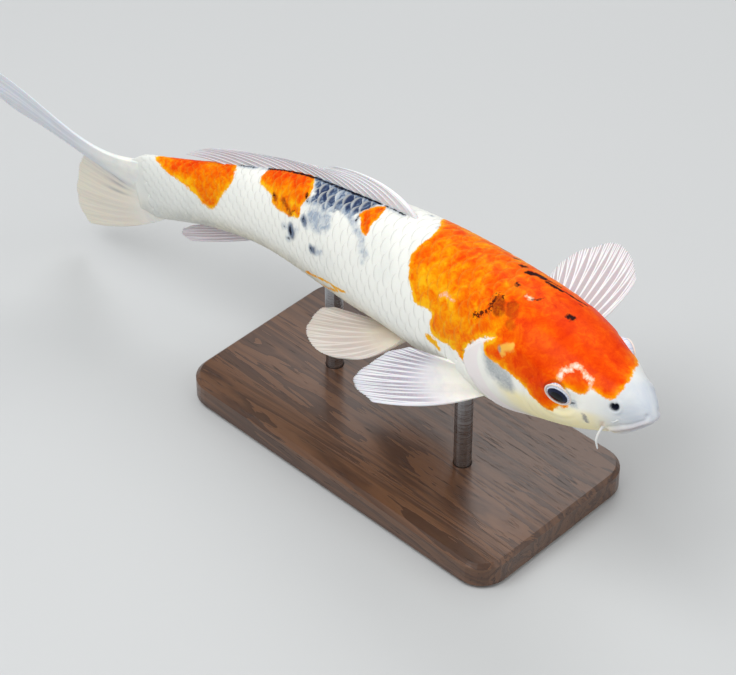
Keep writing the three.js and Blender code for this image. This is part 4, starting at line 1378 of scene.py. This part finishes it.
def make_pelvic(name, side):
    """A pelvic fin, spread flat and level beside the belly."""
    margin = [(0.518, 0.111, -0.094), (0.558, 0.124, -0.094), (0.609, 0.108, -0.094),
              (0.634, 0.082, -0.094), (0.644, 0.054, -0.094), (0.632, 0.036, -0.093)]
    make_fin(name + "_rays", [name],
             lambda u: (mix(0.456, 0.490, u), side * mix(0.042, 0.026, u), mix(-0.065, -0.074, u)),
             np.array(margin) * [1, side, 1],
             lambda u: [knee * (1 - u) ** 1.5 for knee in (-0.016, side * 0.030, -0.004)],
             belly_fin, 11, 161, 48, wave=0.35 * MM, relief=0.2, smooth=0.2)


make_pelvic("pelvic_fin_right", RIGHT)
make_pelvic("pelvic_fin_left", LEFT)

# ------------------------------------------------------------------ eyes


def make_eye(name, side):
    """An eyeball as a surface of revolution about the way it looks: a flat ellipsoid, as a fish
    has, whose front stands out by the bulge. Its marks are the distance from that axis in
    millimetres, a little off the middle, and the turn about it."""
    seat, gaze, level, upward, up = eye_seat(side)
    centre = seat + gaze * (EYE["bulge"] - EYE["depth"])
    tilt, turn = np.meshgrid(np.radians(np.linspace(0, 180, 62)[1:-1]),
                             np.linspace(0, 2 * np.pi, 96, endpoint=False), indexing="ij")
    depth = EYE["depth"] * np.cos(tilt)[..., None]
    x, y = EYE["radius"] * np.sin(tilt) * [np.cos(turn), np.sin(turn)]
    points = centre + gaze * depth + level * x[..., None] + upward * y[..., None]
    vertices = np.vstack([points.reshape(-1, 3), centre + gaze * EYE["depth"],
                          centre - gaze * EYE["depth"]])
    quads, _ = lattice(*tilt.shape, wrap=True)
    caps = pole_caps(*tilt.shape)
    if faces_in(vertices, quads, vertices[quads[:, 0]] - centre):
        quads, caps = quads[:, ::-1], caps[:, ::-1]
    iris = np.hypot(x + 0.2 * MM, y + 0.35 * MM * np.sign(upward @ up))
    gaze_mark = np.where(tilt < np.pi / 2, iris, EYE["radius"]) / MM
    marks = {"gaze": np.append(gaze_mark, [0.0, 7.0]),
             "gaze_turn": np.append(np.abs(turn - np.pi), [0.0, 0.0])}
    settle(build(name + "_ball", vertices, [quads, caps], None, marks, eye_material), "eyes", name)


make_eye("eye_right", RIGHT)
make_eye("eye_left", LEFT)

# ------------------------------------------------------------------ stand

wood_material = material("stand_walnut", wood_group, bump=0.3, distance=0.25 * MM, coat_weight=0.25,
                         coat_roughness=0.2, ior=1.5)
steel_material = material("stand_brushed_steel", steel_group, bump=0.15, distance=0.05 * MM,
                          metallic=1.0)
for node_name, finish in (("stand_base", wood_material), ("stand_rod_front", steel_material),
                          ("stand_rod_rear", steel_material)):
    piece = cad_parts[node_name]
    for slot_of_object in piece.material_slots:
        slot_of_object.material = finish

# ------------------------------------------------------------------ stage, light and camera

floor_material = material("floor", floor_group, bump=0.05, distance=0.2 * MM)
floor_points = np.array([[-4, -4, 0], [4, -4, 0], [4, 4, 0], [-4, 4, 0]], float)
floor = build("floor", floor_points, [np.array([[0, 1, 2, 3]])], material=floor_material)

world = bpy.data.worlds.new("studio")
world.use_nodes = True
world.node_tree.nodes["Background"].inputs["Color"].default_value = (1.0, 1.0, 1.0, 1.0)
world.node_tree.nodes["Background"].inputs["Strength"].default_value = 0.5
bpy.context.scene.world = world
bpy.context.scene.view_settings.view_transform = "Standard"


def look_from(thing, aim, azimuth, elevation, distance):
    """Puts a light or the camera at a distance from the point aim, at an azimuth and elevation in
    degrees, and turns it to look at that point."""
    bpy.context.scene.collection.objects.link(thing)
    turn, rise = np.radians([azimuth, elevation])
    away = Vector((np.cos(turn) * np.cos(rise), np.sin(turn) * np.cos(rise), np.sin(rise)))
    thing.location = Vector(aim) + away * distance
    thing.rotation_euler = away.to_track_quat("Z", "Y").to_euler()


def add_softbox(name, azimuth, elevation, distance, size, power):
    """A square white light that looks at the fish."""
    light = bpy.data.lights.new(name, "AREA")
    light.shape = "SQUARE"
    light.size = size
    light.energy = power
    lamp = bpy.data.objects.new(name, light)
    look_from(lamp, (-0.02, 0.0, AXIS_HEIGHT), azimuth, elevation, distance)


add_softbox("key", -100, 62, 1.4, 0.9, 12)
add_softbox("fill", 20, 40, 1.6, 1.2, 4)
add_softbox("back", 120, 50, 1.6, 0.8, 5)

lens = bpy.data.cameras.new("camera")
lens.lens = 134.43
lens.sensor_width = 36
lens.sensor_fit = "HORIZONTAL"
lens.clip_start = 0.05
camera = bpy.data.objects.new("camera", lens)
look_from(camera, (0.0005, -0.0244, 0.0775), -45.88, 41.0, 1.2078)
bpy.context.scene.camera = camera
